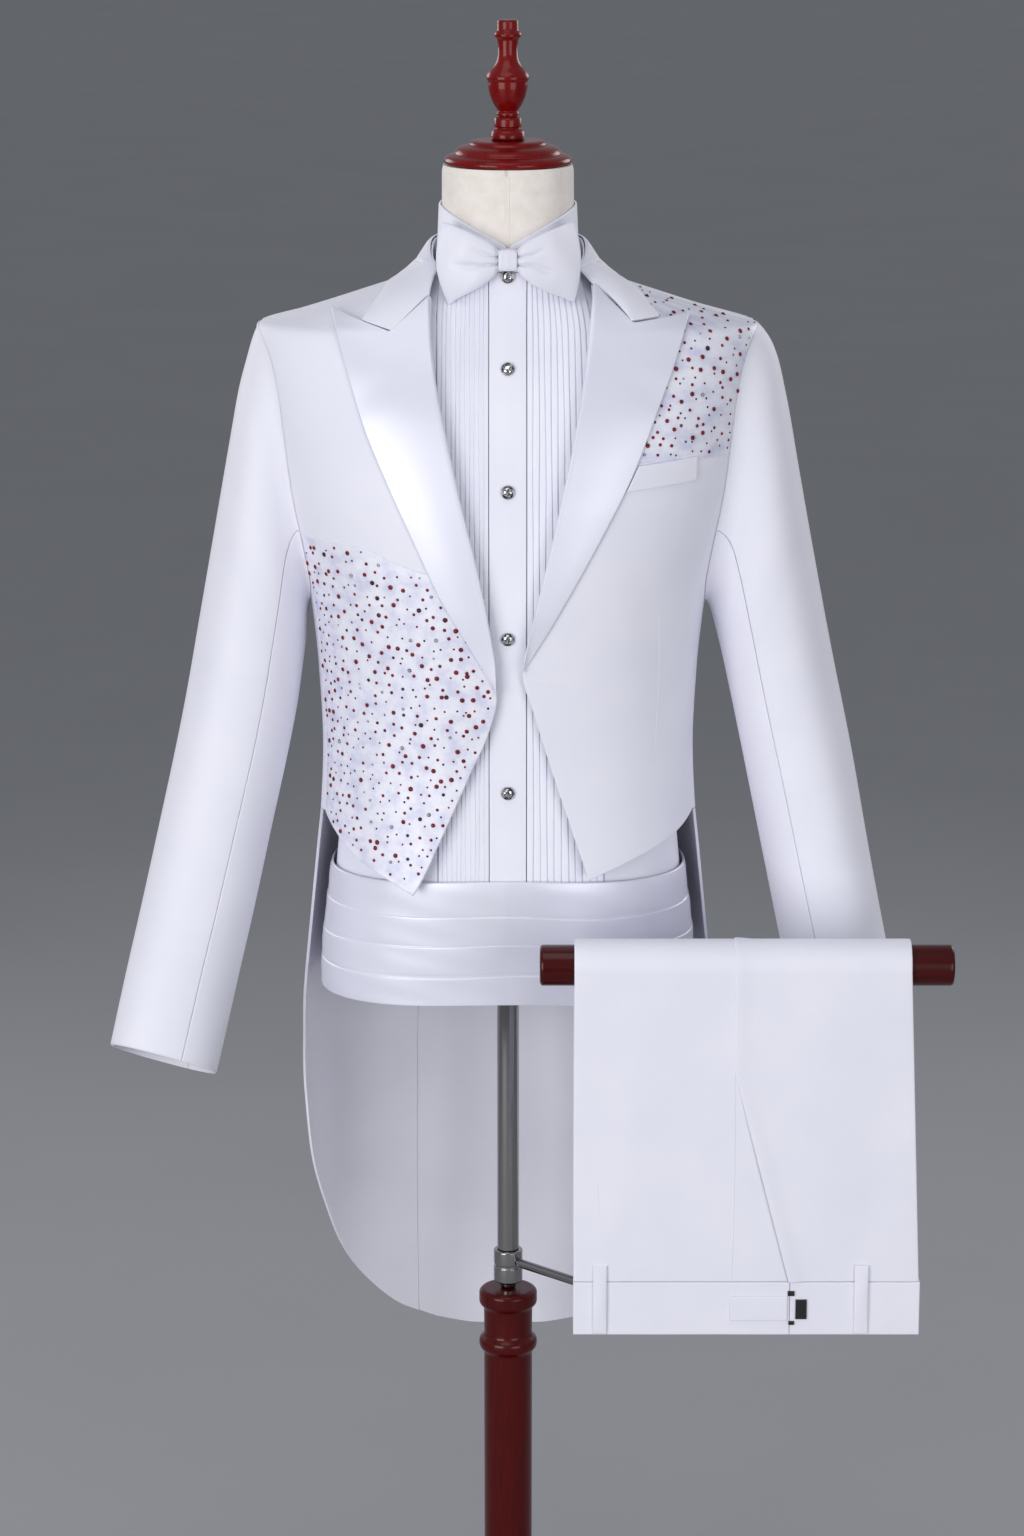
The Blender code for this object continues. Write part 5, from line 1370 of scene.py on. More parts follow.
@dataclass
class StoneField:
    """Stones scattered over one panel: a jittered triangular lattice inside the panel's outline."""

    name: str
    coat: Tailcoat
    region: Grid
    seed: int
    spacing: float = 10.4 * MM
    jitter: float = 3.3 * MM
    margin: float = 3.2 * MM
    # Share of the stones, radius in millimetres.
    kinds: tuple = ((0.25, 2.1), (0.37, 1.5), (0.38, 1))
    rings: tuple = ((0.90, 0.02, 0), (1, 0.22, 0), (0.60, 0.56, 0.5), (0.30, 0.66, 0))

    def build(self) -> None:
        """Makes the stones as one mesh."""
        rng = np.random.default_rng(self.seed)
        low, high = self.region.min(0), self.region.max(0)
        rows = np.arange(low[1], high[1], self.spacing * 0.87)
        cols = np.arange(low[0], high[0], self.spacing)
        shift = (np.arange(len(rows)) % 2) * self.spacing / 2
        places = stacked(cols[None] + shift[:, None], rows[:, None]).reshape(-1, 2)
        places = places + rng.uniform(-self.jitter, self.jitter, places.shape)
        places = places[inside(self.region, places)]
        places = places[away_from(self.region, places) > self.margin]
        steps = np.cumsum([share for share, _ in self.kinds])
        kind = np.searchsorted(steps, rng.uniform(0, 0.999, len(places)))
        radius = np.array([size for _, size in self.kinds])[kind] * MM * rng.uniform(0.9, 1.1, len(places))
        base, above = (self.coat.raised(places[None], lift)[0] for lift in (0.05 * MM, 1.05 * MM))
        spin = rng.uniform(0, 6.28, len(places))
        vertices, faces, each = gems(base, (above - base) / MM, radius, spin, self.rings, 8)
        obj = mesh_object(self.name, vertices, faces, smooth=False)
        drawn = rng.uniform(0, 1, len(places))
        tint = np.where(drawn < 0.86, rng.uniform(0, 0.36, len(places)),
                        np.where(drawn < 0.95, rng.uniform(0.5, 0.72, len(places)), 0.95))
        tint = np.where((kind == 2) & (drawn > 0.6) & (drawn < 0.9), 0.66, tint)
        # Painted reflections: random faces get a facet value that darkens them toward black.
        stone_values(obj, np.repeat(tint, each), rng.uniform(0, 1, len(faces)) ** 1.5)
        Piece(obj, GARNET).settle()
        LOG.info("%s: %d stones", self.name, len(places))


# The shirt, the band and the tie.


@dataclass
class DressForm:
    """The limbless form, covered in linen, and the surface that the shirt lies on."""

    rings: tuple = (
        (838, 165, 106, 107), (870, 163, 108, 110), (920, 157, 110, 110), (960, 153, 111.5, 108),
        (1000, 150, 112, 105), (1050, 149, 113, 103), (1120, 153, 117, 105), (1160, 158, 120, 108),
        (1200, 164, 123, 111), (1240, 174, 123.5, 114), (1280, 184, 122, 116), (1320, 192, 117, 116),
        (1360, 199, 109, 113), (1395, 202, 96, 107), (1412, 201, 87, 102), (1423, 190, 80, 97),
        (1434, 160, 74, 90), (1446, 126, 68, 82), (1456, 98, 62.5, 75), (1466, 77, 59, 68),
        (1478, 64, 57, 63), (1495, 60, 56, 61), (1520, 58.5, 55.5, 60), (1572.6, 58, 55.5, 60),
    )
    under: tuple = (
        (838, 4.5), (1120, 5), (1250, 9), (1370, 13), (1400, 16), (1430, 16), (1466, 9), (1484, 2.5),
        (1504, 0),
    )
    top: float = 1572.6 * MM

    def __post_init__(self) -> None:
        """Makes the surface."""
        self.body = Body(self.rings)

    def build(self) -> None:
        """Makes the covered form: rings lifted under the shirt, closed at both ends."""
        z = np.concatenate([[0.8382, 0.8386, 0.842], np.linspace(0.85, 1.40, 56),
                            np.linspace(1.405, 1.5664, 60), [1.5674, self.top]])[:, None]
        angle = circle(120)[None]
        under = np.array(self.under, float).T * MM
        ends = np.clip(1 - (z - 0.8382) / 0.004, 0, 1) ** 2 + np.clip(1 - (self.top - z) / 0.0016, 0, 1) ** 2
        rings = self.body.lifted(angle, z, -eased(*under, z) - 1.2 * MM * ends)
        caps = [np.repeat(rings[i].mean(0)[None, None], 120, 1) for i in (0, -1)]
        grid = np.concatenate([caps[0], rings, caps[1]])
        number = np.arange(grid[..., 0].size).reshape(grid.shape[:2])
        number[0], number[-1] = number[0, 0], number[-1, 0]
        number = wrapped(number)
        faces = [web(number[1:-1]), quads(number[1, 1:], number[1, :-1], number[0, :-1], number[0, :-1]),
                 quads(number[-2, :-1], number[-2, 1:], number[-1, 1:], number[-1, 1:])]
        places = stacked(angle * 0.06, grid[..., 2]).reshape(-1, 2)
        cover = mesh_object("dress_form_cover", grid.reshape(-1, 3), halved(np.concatenate(faces)), places)
        Piece(cover, LINEN, ("dress_form",)).settle()
        heights = np.linspace(1.486, 1.567, 30)
        heap = Heap()
        for turn in (0.02, math.pi):
            heap.add(*tube_path(self.body.lifted(turn, heights, -eased(*under, heights)), 0.4 * MM))
        Piece(heap.mesh("form_seam_thread"), LINEN).settle()


@dataclass
class Shirt:
    """The pleated dress shirt: bibs, fronts, back, placket, collar and studs."""

    form: DressForm
    lift: float = 0.5 * MM
    wall: float = 1.2 * MM
    bottom: float = 845 * MM
    neck: float = 1484 * MM
    bib_in: float = 16.9 * MM
    bib_out: tuple = ((845, 62, 88), (1160, 62, 80), (1430, 62, 74), (1484, 58.5, 60))
    pleats: int = 11
    # One tuck: share across, rise in millimetres.
    pleat_shape: tuple = (
        (0, 0.15), (0.10, 0.36), (0.35, 0.62), (0.6, 0.84), (0.76, 0.97), (0.82, 0.95), (0.85, 0.78),
        (0.875, -0.1), (0.90, -0.35), (0.95, -0.35), (0.98, -0.1), (1, 0.15),
    )
    arm: tuple = (1296 * MM, 117 * MM, 15)
    placket_half: float = 16.2 * MM
    placket_lift: float = 1.1 * MM
    # Studs: height, gap over the placket's even surface, in millimetres.
    studs: tuple = ((1480.8, 0.2), (1403.5, -0.2), (1301.2, 0.1), (1171.8, 0.1), (1030.3, 0.1))
    stud_radius: float = 6.0 * MM
    stud_rings: tuple = ((0.70, 0, 0), (0.84, 0.10, 0), (0.82, 0.22, 0), (0.60, 0.40, 0.5), (0.34, 0.47, 0))

    def bib_edge(self, side: int, z: Grid) -> Grid:
        """Distance of a bib's outer edge from the middle, at a height."""
        table = np.array(self.bib_out, float) * MM
        return eased(table[:, 0], table[:, 1 if side < 0 else 2], z)

    def pleat_profile(self, share: Grid) -> Grid:
        """A tuck's rise over one pleat: it climbs slowly to its fold and falls away at once."""
        return np.interp(share, *np.array(self.pleat_shape).T) * MM

    def bibs(self) -> None:
        """The two pleated bibs."""
        v = np.linspace(0, 1, 90)[:, None]
        marks = np.array(self.pleat_shape)[:-1, 0]
        share = np.concatenate([np.add.outer(np.arange(self.pleats), marks).ravel(), [self.pleats]])
        for side, end in ((-1, "r"), (1, "l")):
            z = self.bottom + (self.neck - self.bottom) * v
            x = self.bib_in + (self.bib_edge(side, z) - self.bib_in) * share[None] / self.pleats
            x = x + 0.35 * MM * np.sin(z * 31 + share[None] * 1.7) * np.clip(share[None], 0, 1)
            z = z + 0 * x
            angle = self.form.body.angle_at(side * x, z)
            uneven = 1 + 0.16 * np.sin(np.floor(share)[None] * 2.4 + z * 9)
            rise = self.pleat_profile(np.mod(share, 1))[None] * uneven
            outer = self.form.body.lifted(angle, z, self.lift + self.wall + rise)
            inner = self.form.body.lifted(angle, z, self.lift)
            Cloth(f"shirt_bib_{end}", outer, inner, np.stack([x, z], -1), COTTON, round_edges=False).build()

    def plain_parts(self) -> None:
        """Outer fronts and back."""
        body, lifts = self.form.body, (self.lift + self.wall, self.lift)
        arm_top, arm_low = self.arm[0] + self.arm[1], self.arm[0] - self.arm[1]
        cut = Tailcoat(arm=self.arm)

        def panel(name: str, edges: tuple) -> None:
            """A shirt panel between four edges."""
            grid = drawn_in(coons(*edges, shares_for(0.62, 0.008), shares_for(0.2, 0.006)))
            faces = [body.lifted(grid[..., 0] / DOMAIN_RADIUS, grid[..., 1], lift) for lift in lifts]
            Cloth(name, *faces, grid, COTTON, round_edges=False).build()

        for side, end in ((-1, "r"), (1, "l")):
            z = np.linspace(self.bottom, self.neck, 60)
            x = side * (self.bib_edge(side, z) + SEAM / 2)
            inner_edge = np.stack([body.angle_at(x, z) * DOMAIN_RADIUS, z], -1)
            arm = cut.arm_edge(side, arm_low, arm_top)
            outer_edge = np.concatenate([spot(side * 90, self.bottom), arm])
            top = np.concatenate([arm[-1:], spot(side * 90, self.neck), inner_edge[-1:]])
            panel(f"shirt_front_{end}", (np.concatenate([outer_edge[:1], inner_edge[:1]]), top, outer_edge,
                                         inner_edge))
        right_arm = cut.arm_edge(-1, arm_low, arm_top, front=False)
        left_arm = right_arm.copy()
        left_arm[:, 0] = -2 * math.pi * DOMAIN_RADIUS - right_arm[:, 0]
        right = np.concatenate([spot(-90, self.bottom), right_arm])
        left = np.concatenate([spot(-270, self.bottom), left_arm])
        neck = np.concatenate([spot(-90, self.neck), spot(-270, self.neck)])
        top = np.concatenate([right_arm[-1:], neck, left_arm[-1:]])
        panel("shirt_back", (np.stack([right[0], left[0]]), top, right, left))

    def placket(self) -> None:
        """The placket with its crown, the seam under the collar and two rows of stitches."""
        body, face = self.form.body, self.lift + self.wall + self.placket_lift
        v = np.linspace(0, 1, 110)[:, None]
        x = (2 * shares_for(0.0324, 0.003) - 1)[None] * self.placket_half
        z = self.bottom * (1 - v) + self.neck * v
        angle = body.angle_at(x, z)
        crown = 0.25 * MM * (1 - (x / self.placket_half) ** 2)
        Cloth("shirt_placket", body.lifted(angle, z, face + crown), body.lifted(angle, z, self.lift),
              stacked(x, z), COTTON).build()
        x = np.linspace(-self.placket_half, self.placket_half, 40)
        seam_z = 1466 * MM + 2.2 * MM * (x / self.placket_half)
        path = body.lifted(body.angle_at(x, seam_z), seam_z, face + 0.2 * MM)
        Piece(mesh_object("collar_band_line", *tube_path(path, 0.3 * MM)), COTTON).settle()
        heap = Heap()
        for edge in (-1, 1):
            at = body.angle_at(np.full(110, edge * (self.placket_half - 3.2 * MM)), z[:, 0])
            place, above = (body.lifted(at, z[:, 0], face + lift) for lift in (0.02 * MM, 1.02 * MM))
            heap.add(*stitch_heap(place, (above - place) / MM, 2.6 * MM, 0.18 * MM))
        Piece(heap.mesh("placket_stitches"), THREAD).settle()

    def collar(self) -> None:
        """The stand collar, open at the middle front, its top edge dipping there."""
        body = self.form.body
        angle = np.radians(1.5 + (360 - 3) * shares_for(0.36))[None]
        front = np.clip(np.cos(angle), 0, 1)
        across = np.abs(body.point(angle, 0 * angle + 1.52)[..., 0]) / (58.5 * MM)
        top = np.where(front > 0, 1.5065 + (1.538 - 1.5065) * across, 1.538 + 0.003 * np.abs(np.cos(angle)))
        v = shares_for(0.05)[:, None]
        z = 1.4845 * (1 - v) + top * v
        grid = stacked(angle * 0.06, z)
        belly = 0.6 * MM * np.sin(math.pi * v)
        faces = [body.lifted(angle, z, lift + belly) for lift in (2.7 * MM, 0.9 * MM)]
        Cloth("shirt_collar", *faces, grid, COTTON).build()

    def crystals(self) -> None:
        """Faceted studs, each in a silver rim."""
        rng = np.random.default_rng(7)
        body, face = self.form.body, self.lift + self.wall + self.placket_lift
        front, side = np.array([0.0]), np.array([1.0, 0, 0])
        for index, (height, gap) in enumerate(self.studs):
            z = np.array([height * MM])
            base = body.lifted(front, z, face + gap * MM + 0.25 * MM)
            normal = unit(body.lifted(front, z, 0.01) - body.point(front, z))
            vertices, faces, _ = gems(base, normal, np.array([self.stud_radius]), np.array([0.2 * index]),
                                      self.stud_rings, 12)
            stone = mesh_object(f"stud_stone_{index + 1}", vertices, faces, smooth=False)
            # Painted reflections: each face gets a random white-to-grey tint, and about four in ten faces are
            # painted near black.
            reflection_draw = rng.uniform(0, 1, len(faces))
            stone_values(stone, rng.uniform(0, 1, len(faces)), np.where(reflection_draw > 0.62, 0.95, reflection_draw * 0.3))
            Piece(stone, CRYSTAL, (f"shirt_stud_{index + 1}",)).settle()
            turn, section = circle(48)[None, :, None], circle(12)[:, None, None]
            ring = self.stud_radius * 0.91 + 0.62 * MM * np.cos(section)
            rise = 1.0 * MM + 1.0 * MM * np.sin(section)
            round_way = np.cos(turn) * side + np.sin(turn) * np.cross(normal[0], side)
            grid = base[0] + ring * round_way + rise * normal[0]
            number = np.arange(grid[..., 0].size).reshape(grid.shape[:2])
            faces = web(wrapped(np.concatenate([number, number[:1]])))
            Piece(mesh_object(f"stud_rim_{index + 1}", grid.reshape(-1, 3), faces), CHROME).settle()

    def build(self) -> None:
        """Makes the whole shirt."""
        self.bibs()
        self.plain_parts()
        self.placket()
        self.collar()
        self.crystals()


@dataclass
class Cummerbund:
    """A satin band with four upturned folds, all the way round."""

    form: DressForm
    marks: tuple = (833.3, 861.3, 889, 917, 949.5)
    side_drop: float = 9.0
    low: float = 6.5 * MM
    high: float = 7.4 * MM
    inner: float = 4.6 * MM

    def place(self, angle: Grid, z: Grid, lift: Grid) -> Grid:
        """Places round the hips, straight down below the form's lowest ring."""
        floor = self.form.body.z[0] + 0.3 * MM
        placed = self.form.body.lifted(angle, np.maximum(z, floor), lift)
        placed[..., 2] += np.minimum(z - floor, 0)
        return placed

    def build(self) -> None:
        """Makes the band: each fold swells to its upper edge and tucks under the next."""
        rise = np.array([0, 0.02, 0.06, 0.15, 0.3, 0.45, 0.6, 0.75, 0.87, 0.94, 0.975, 0.99, 1])
        swell = np.array([0, 0.18, 0.26, 0.36, 0.5, 0.64, 0.77, 0.89, 0.97, 1, 0.96, 0.8, 0.25])
        low, high = (np.array(self.marks)[part, None] for part in (slice(0, -1), slice(1, None)))
        heights = (low + 0.3 + (high - low - 0.7) * rise).reshape(-1, 1)
        lifts = np.tile(self.low + (self.high - self.low) * swell, len(low))[:, None]
        order = np.repeat(np.arange(len(low)), len(rise))[:, None]
        angle = circle(260)[None]
        wander = 1.2 * np.sin(2 * angle + order * 1.9) + 0.5 * np.sin(5 * angle + order * 0.7)
        lifts = lifts - 1.3 * MM * np.clip((heights - 938) / 11, 0, 1) ** 2
        inside_share = np.clip((heights - 834) / 8, 0, 1) * np.clip((948 - heights) / 8, 0, 1)
        z = (heights + wander * inside_share - self.side_drop * np.sin(angle) ** 2) * MM
        soft = 0.5 * MM * np.sin(7 * angle + heights * 0.09) * np.sin(heights * 0.21 + 2 * angle)
        outer = self.place(angle, z, lifts + soft * 0.6)
        inner = self.place(angle, z, np.full(z.shape, self.inner))
        Cloth("cummerbund", outer, inner, stacked(angle * 0.15, z), FACING, "gathered", closed=True,
              round_edges=False).build()


@dataclass
class BowTie:
    """Two soft loops drawn together by a knot."""

    # Loop sections from the knot out: x, middle height, half height, half thickness, y.
    sections: tuple = (
        (5, 1496.5, 6.8, 2.6, -66), (7.7, 1496.2, 8.6, 3.2, -66.5), (12, 1496, 13.6, 5.2, -67.8),
        (17, 1495.8, 17.6, 5.8, -67.7), (25, 1495.3, 22, 6.2, -67.2), (36, 1495.3, 26.6, 6.2, -65.3),
        (48, 1495.3, 30.3, 5, -61.9), (57, 1495, 33, 3.4, -59.2), (61, 1495, 33, 1.7, -58.5),
        (61.4, 1495, 32.7, 1, -58.4),
    )
    # Each loop's reach, how far its upper and lower corners draw back, and how much lower its foot hangs.
    ends: tuple = ((1.02, 0.086, 0.164, 0.17), (1.04, 0.098, 0.083, 0.09))
    # Fold lines of each loop: x, height over the knot's middle; then depth and reach in millimetres.
    fold_lines: tuple = (
        ((((8.9, 2.9), (19.2, 5.4), (30, 10.3), (62, 26)), 4, 31),
         (((8.9, -3.4), (25, -4.9), (43, -4.4), (62, -4)), 5, 50)),
        ((((8.7, 3), (22, 5), (31, 9.6), (62, 26)), 4.2, 34),
         (((8.7, -4.4), (21, -4.4), (30, -7.4), (62, -20)), 4.8, 42)),
    )
    knot_y: float = -66.0
    knot_z: float = 1496.5
    knot_half: tuple = (8.2, 6.5, 9.6)
    wall: float = 0.9 * MM

    def loops(self) -> None:
        """The loops: squared ovals along the section table, with two folds drawn toward the knot."""
        table = np.array(self.sections, float)
        at = np.concatenate([[0.0], np.linspace(0.2, 8.9, 70), [9.0]])
        order = np.arange(len(table))
        x, mid, half, thick, y = (eased(order, column, at)[:, None] for column in table.T)
        turn = circle(108)[None]
        up, out = np.cos(turn) * squared(turn, 3), np.sin(turn) * squared(turn, 3)
        for side, end, shape, folds in zip((-1, 1), "rl", self.ends, self.fold_lines):
            height = half * up + mid - self.knot_z
            sunk = 0 * height
            for line, depth, reach in folds:
                line = np.array(line, float)
                fade = np.clip(1 - (x - 8) / (reach - 8), 0, 1) ** 0.8
                off = np.abs(height - eased(line[:, 0], line[:, 1], x)) / (1.0 + 0.075 * (x - 8))
                sunk = sunk + depth * fade * (0.55 * np.exp(-off ** 2) + 0.45 * np.exp(-off * 2.2))
            soft = 0.5 * np.sin(x * 0.17 + up * 3.1) * np.clip((x - 14) / 20, 0, 1)
            drawn = (x / 61.4) ** 2 * (shape[1] * np.clip(up, 0, 1) ** 2 + shape[2] * np.clip(-up, 0, 1) ** 2)
            faces = []
            for inset in (0, self.wall / MM):
                deep = np.maximum(thick - inset + (soft - sunk) * np.abs(out) ** 0.5, 0.9 - inset)
                place_x = side * x * (1 + (shape[0] - 1) * x / 61.4) * (1 - drawn)
                tall = (half - inset * 0.8) * (1 + shape[3] * np.clip(-up, 0, 1) ** 2 * (x / 61.4) ** 2)
                faces.append(np.stack([place_x, y - deep * out, mid + tall * up], -1) * MM)
            Cloth(f"bow_loop_{end}", *faces, stacked(x * MM, 0.02 * turn), TIE, "folded", ("shirt_collar",),
                  closed=True, round_edges=False).build()

    def knot(self) -> None:
        """The knot: a band round the loops' roots, with soft upright folds."""
        across = (2 * shares_for(0.0146, 0.0008) - 1)[:, None]
        turn = circle(72)[None]
        square = squared(turn, 5)
        faces = []
        for inset in (0, 1.2):
            pinch = 1 - 0.16 * np.abs(across) ** 4
            fold = 0.14 * np.cos(across * 7.5) * (inset == 0)
            tall = (self.knot_half[2] - inset) * pinch
            deep = (self.knot_half[1] - inset) * pinch + fold
            faces.append(MM * stacked(across * self.knot_half[0], self.knot_y - deep * np.sin(turn) * square,
                                      self.knot_z + tall * np.cos(turn) * square))
        Cloth("bow_knot", *faces, stacked(across * 0.0073, 0.009 * turn), TIE, "folded", ("shirt_collar",),
              closed=True).build()

    def build(self) -> None:
        """Makes the tie."""
        self.loops()
        self.knot()


# The trousers over the bar.


@dataclass
class Trousers:
    """The trousers, hung by their middle over the bar, waist down in front."""

    bar_y: float = -200 * MM
    bar_z: float = 897 * MM
    bar_radius: float = 18 * MM
    # Side edges; the left one slants outward from its top to the waist.
    side_x: tuple = (57.9 * MM, 351.5 * MM)
    flare: float = 14.0 * MM
    middle: float = 199.0 * MM
    crotch_z: float = 807 * MM
    fly_x: float = 249.5 * MM
    waist_seam_z: float = 611.5 * MM
    waist_end_z: float = 562.0 * MM
    leg_fold_z: float = 632 * MM
    leg_end_z: float = 842 * MM
    wall: float = 1.1 * MM
    leg_lift: float = 0.75 * MM
    leg_thick: float = 1.5 * MM
    back_lift: float = 2.55 * MM
    front_lift: float = 4.1 * MM
    hollow: float = 11.0 * MM
    # Plates of the hook: lowest and highest x and z, in millimetres.
    hook_plates: tuple = (
        (254.6, 577, 264.6, 595.5), (247.6, 598.8, 253.6, 603.4), (248.6, 571.6, 253.6, 575.2),
    )
    # Soft ridges and troughs of the front fall: x, z, half length, half width, rise, lean.
    folds: tuple = (
        (110, 780, 90, 16, 0.8, 4), (150, 700, 70, 18, -0.7, -8), (90, 660, 44, 12, 0.7, 14),
        (280, 790, 80, 18, 0.8, -5), (320, 690, 70, 16, -0.7, 9), (225, 700, 60, 12, -0.6, -12),
        (200, 860, 40, 10, 0.7, 2), (340, 640, 36, 12, 0.6, -18), (130, 880, 30, 14, -0.5, 80),
    )

    def over_bar(self, run: Grid, lift: Grid) -> tuple[Grid, Grid]:
        """Places over the bar: straight down in front, a half turn, and straight down behind."""
        radius = self.bar_radius + lift
        turn = np.clip(run, 0, 1) * math.pi
        y = self.bar_y - radius * np.cos(turn)
        return y, self.bar_z + radius * np.sin(turn) + np.minimum(run, 0) - np.maximum(run - 1, 0)

    def runs(self, front_z: float, back_z: float) -> Grid:
        """Run values from the front end over the bar to the end behind."""
        drop, back = self.bar_z - front_z, self.bar_z - back_z
        return np.concatenate([
            -drop * (1 - shares_for(drop))[:-1], np.linspace(0, 1, 40), 1 + back * shares_for(back)[1:]])

    def left_side(self, z: Grid) -> Grid:
        """The left side edge's x at a height."""
        return self.side_x[1] + self.flare * np.clip((self.bar_z - z) / (self.bar_z - self.waist_end_z), 0, 1)

    def fly(self, z: Grid) -> Grid:
        """The fly edge's x at a height: slanting from the crotch to the waist."""
        share = np.clip((self.crotch_z - z) / (self.crotch_z - self.waist_seam_z), 0, 1)
        return self.middle + (self.fly_x - self.middle) * share

    def draped(self, name: str, low: Callable, high: Callable, runs: Grid, lift: float, thick: float,
               curl: float, lap: Optional[Callable] = None, away: float = 0) -> None:
        """A sheet over the bar between two side edges.

        Args:
            name: the CAD node that it stands for.
            low: x of its first side at a height.
            high: x of its other side.
            runs: run values.
            lift: distance from the bar.
            thick: its wall.
            curl: how far its side edges turn in.
            lap: extra rise from x and height.
            away: how far it stands off behind the front at the waist; none gives it the front's folds.
        """
        front = np.where(runs < 0, self.bar_z + runs, self.bar_z)[:, None]
        u = shares_for(float(np.max(high(front) - low(front))))[None]
        x = low(front) + (high(front) - low(front)) * u
        edge = np.clip(1 - np.minimum(np.abs(x - low(front)), np.abs(x - high(front))) / (4 * MM), 0, 1) ** 2
        rise = lift + curl * edge
        if away == 0:
            rise = rise + creases(self.folds, x, front) * np.clip(-runs / 0.02, 0, 1)[:, None]
        if lap is not None:
            rise = rise + lap(x, front)
        stand = self.bar_z - 60 * MM
        back = away * np.clip((stand - front) / (stand - self.waist_seam_z), 0, 1) ** 2 * (1 - edge)
        run = runs[:, None]
        faces = []
        for level in (rise + thick, rise):
            y, z = self.over_bar(run, level)
            faces.append(stacked(x, y + back, z))
        along = np.minimum(run, 0) + np.clip(run, 0, 1) * math.pi * self.bar_radius + np.maximum(run - 1, 0)
        Cloth(name, *faces, stacked(x, along), SUITING, "folded", ("trouser_bar",)).build()

    def legs(self) -> None:
        """Fronts, backs and the folded lower legs."""
        half = SEAM / 2
        front_runs = self.runs(self.waist_seam_z + half, self.leg_fold_z)

        def open_share(z: Grid) -> Grid:
            """How far the fly opens below the crotch, easing from none to all."""
            share = np.clip((self.crotch_z - z) / 0.10, 0, 1)
            return share * share * (3 - 2 * share)

        def step_up(x: Grid, z: Grid) -> Grid:
            """The lapping edge: it rises over its neighbour and sinks back within a finger's width."""
            near = np.clip((x - self.fly(z)) / (16 * MM), 0, 1)
            return (1.25 + 1.7 * open_share(z)) * MM * (1 - near * near * (3 - 2 * near))

        def lapped(z: Grid) -> Grid:
            """The lapping piece's edge, a little past its neighbour's."""
            return self.fly(z) + half - 1.4 * MM

        left, curl = self.side_x[0], -0.4 * MM
        self.draped("trouser_front_r", lambda z: left + 0 * z, lambda z: self.fly(z) - half, front_runs,
                    self.front_lift, self.wall, curl)
        self.draped("trouser_front_l", lapped, self.left_side, front_runs,
                    self.front_lift, self.wall, curl, step_up)
        sides = (("r", lambda z: left + 0 * z, lambda z: self.middle - half + 0 * z),
                 ("l", lambda z: self.middle + half + 0 * z, self.left_side))
        for end, low, high in sides:
            self.draped(f"trouser_leg_{end}", lambda z, low=low: low(z) + 3 * MM,
                        lambda z, high=high: high(z) - 3 * MM,
                        self.runs(self.leg_end_z, self.leg_fold_z + 4 * MM), self.leg_lift, self.leg_thick, 0,
                        away=1e-9)
            self.draped(f"trouser_back_{end}", low, high, front_runs, self.back_lift, self.wall, 1.0 * MM,
                        away=self.hollow)

    def slab(self, name: str, low: tuple, high: tuple, rests_on: str = "trouser_bar",
             bulge: float = 0) -> None:
        """A flat sewn strip of suiting that faces the front, its edges turned in.

        Args:
            name: the CAD node that it stands for.
            low: lowest corner.
            high: highest corner.
            rests_on: what it lies on; not used.
            bulge: how far its middle stands out.
        """
        u = shares_for(high[0] - low[0], STEP * 1.2)[None]
        v = shares_for(high[2] - low[2], STEP * 1.2)[:, None]
        x, z = low[0] + (high[0] - low[0]) * u, low[2] + (high[2] - low[2]) * v
        swell = bulge * np.sin(math.pi * v) * np.sin(math.pi * np.clip(u, 0, 1)).clip(0) ** 0.5
        ripple = 0.22 * MM * np.sin(x * 61) * np.sin(z * 47) + swell
        outer = stacked(x, low[1] - ripple * (1 if bulge else 0.6), z)
        Cloth(name, outer, stacked(x, high[1], z), stacked(x, z), SUITING, "laid", (rests_on,)).build()

    def lines(self, ends: Sequence[tuple], y: float, bend: float = 0) -> Iterator[Grid]:
        """Lines that face the front, bent a little sideways.

        Args:
            ends: x, z of both ends of each line, in millimetres.
            y: their place from front to back.
            bend: how far their middles stand to the side.

        Yields:
            The places along each line.
        """
        share = np.linspace(0, 1, 60)
        for x0, z0, x1, z1 in ends:
            yield stacked((x0 * (1 - share) + x1 * share) * MM + bend * np.sin(math.pi * share), y,
                          (z0 * (1 - share) + z1 * share) * MM)

    def rows(self, name: str, ends: Sequence[tuple], y: float) -> None:
        """Rows of stitches that face the front: x, z of both ends of each, in millimetres."""
        heap = Heap()
        for path in self.lines(ends, y):
            heap.add(*stitch_heap(path, np.tile([[0.0, -1, 0.0]], (60, 1)), 2.8 * MM, 0.20 * MM))
        Piece(heap.mesh(name), THREAD).settle()

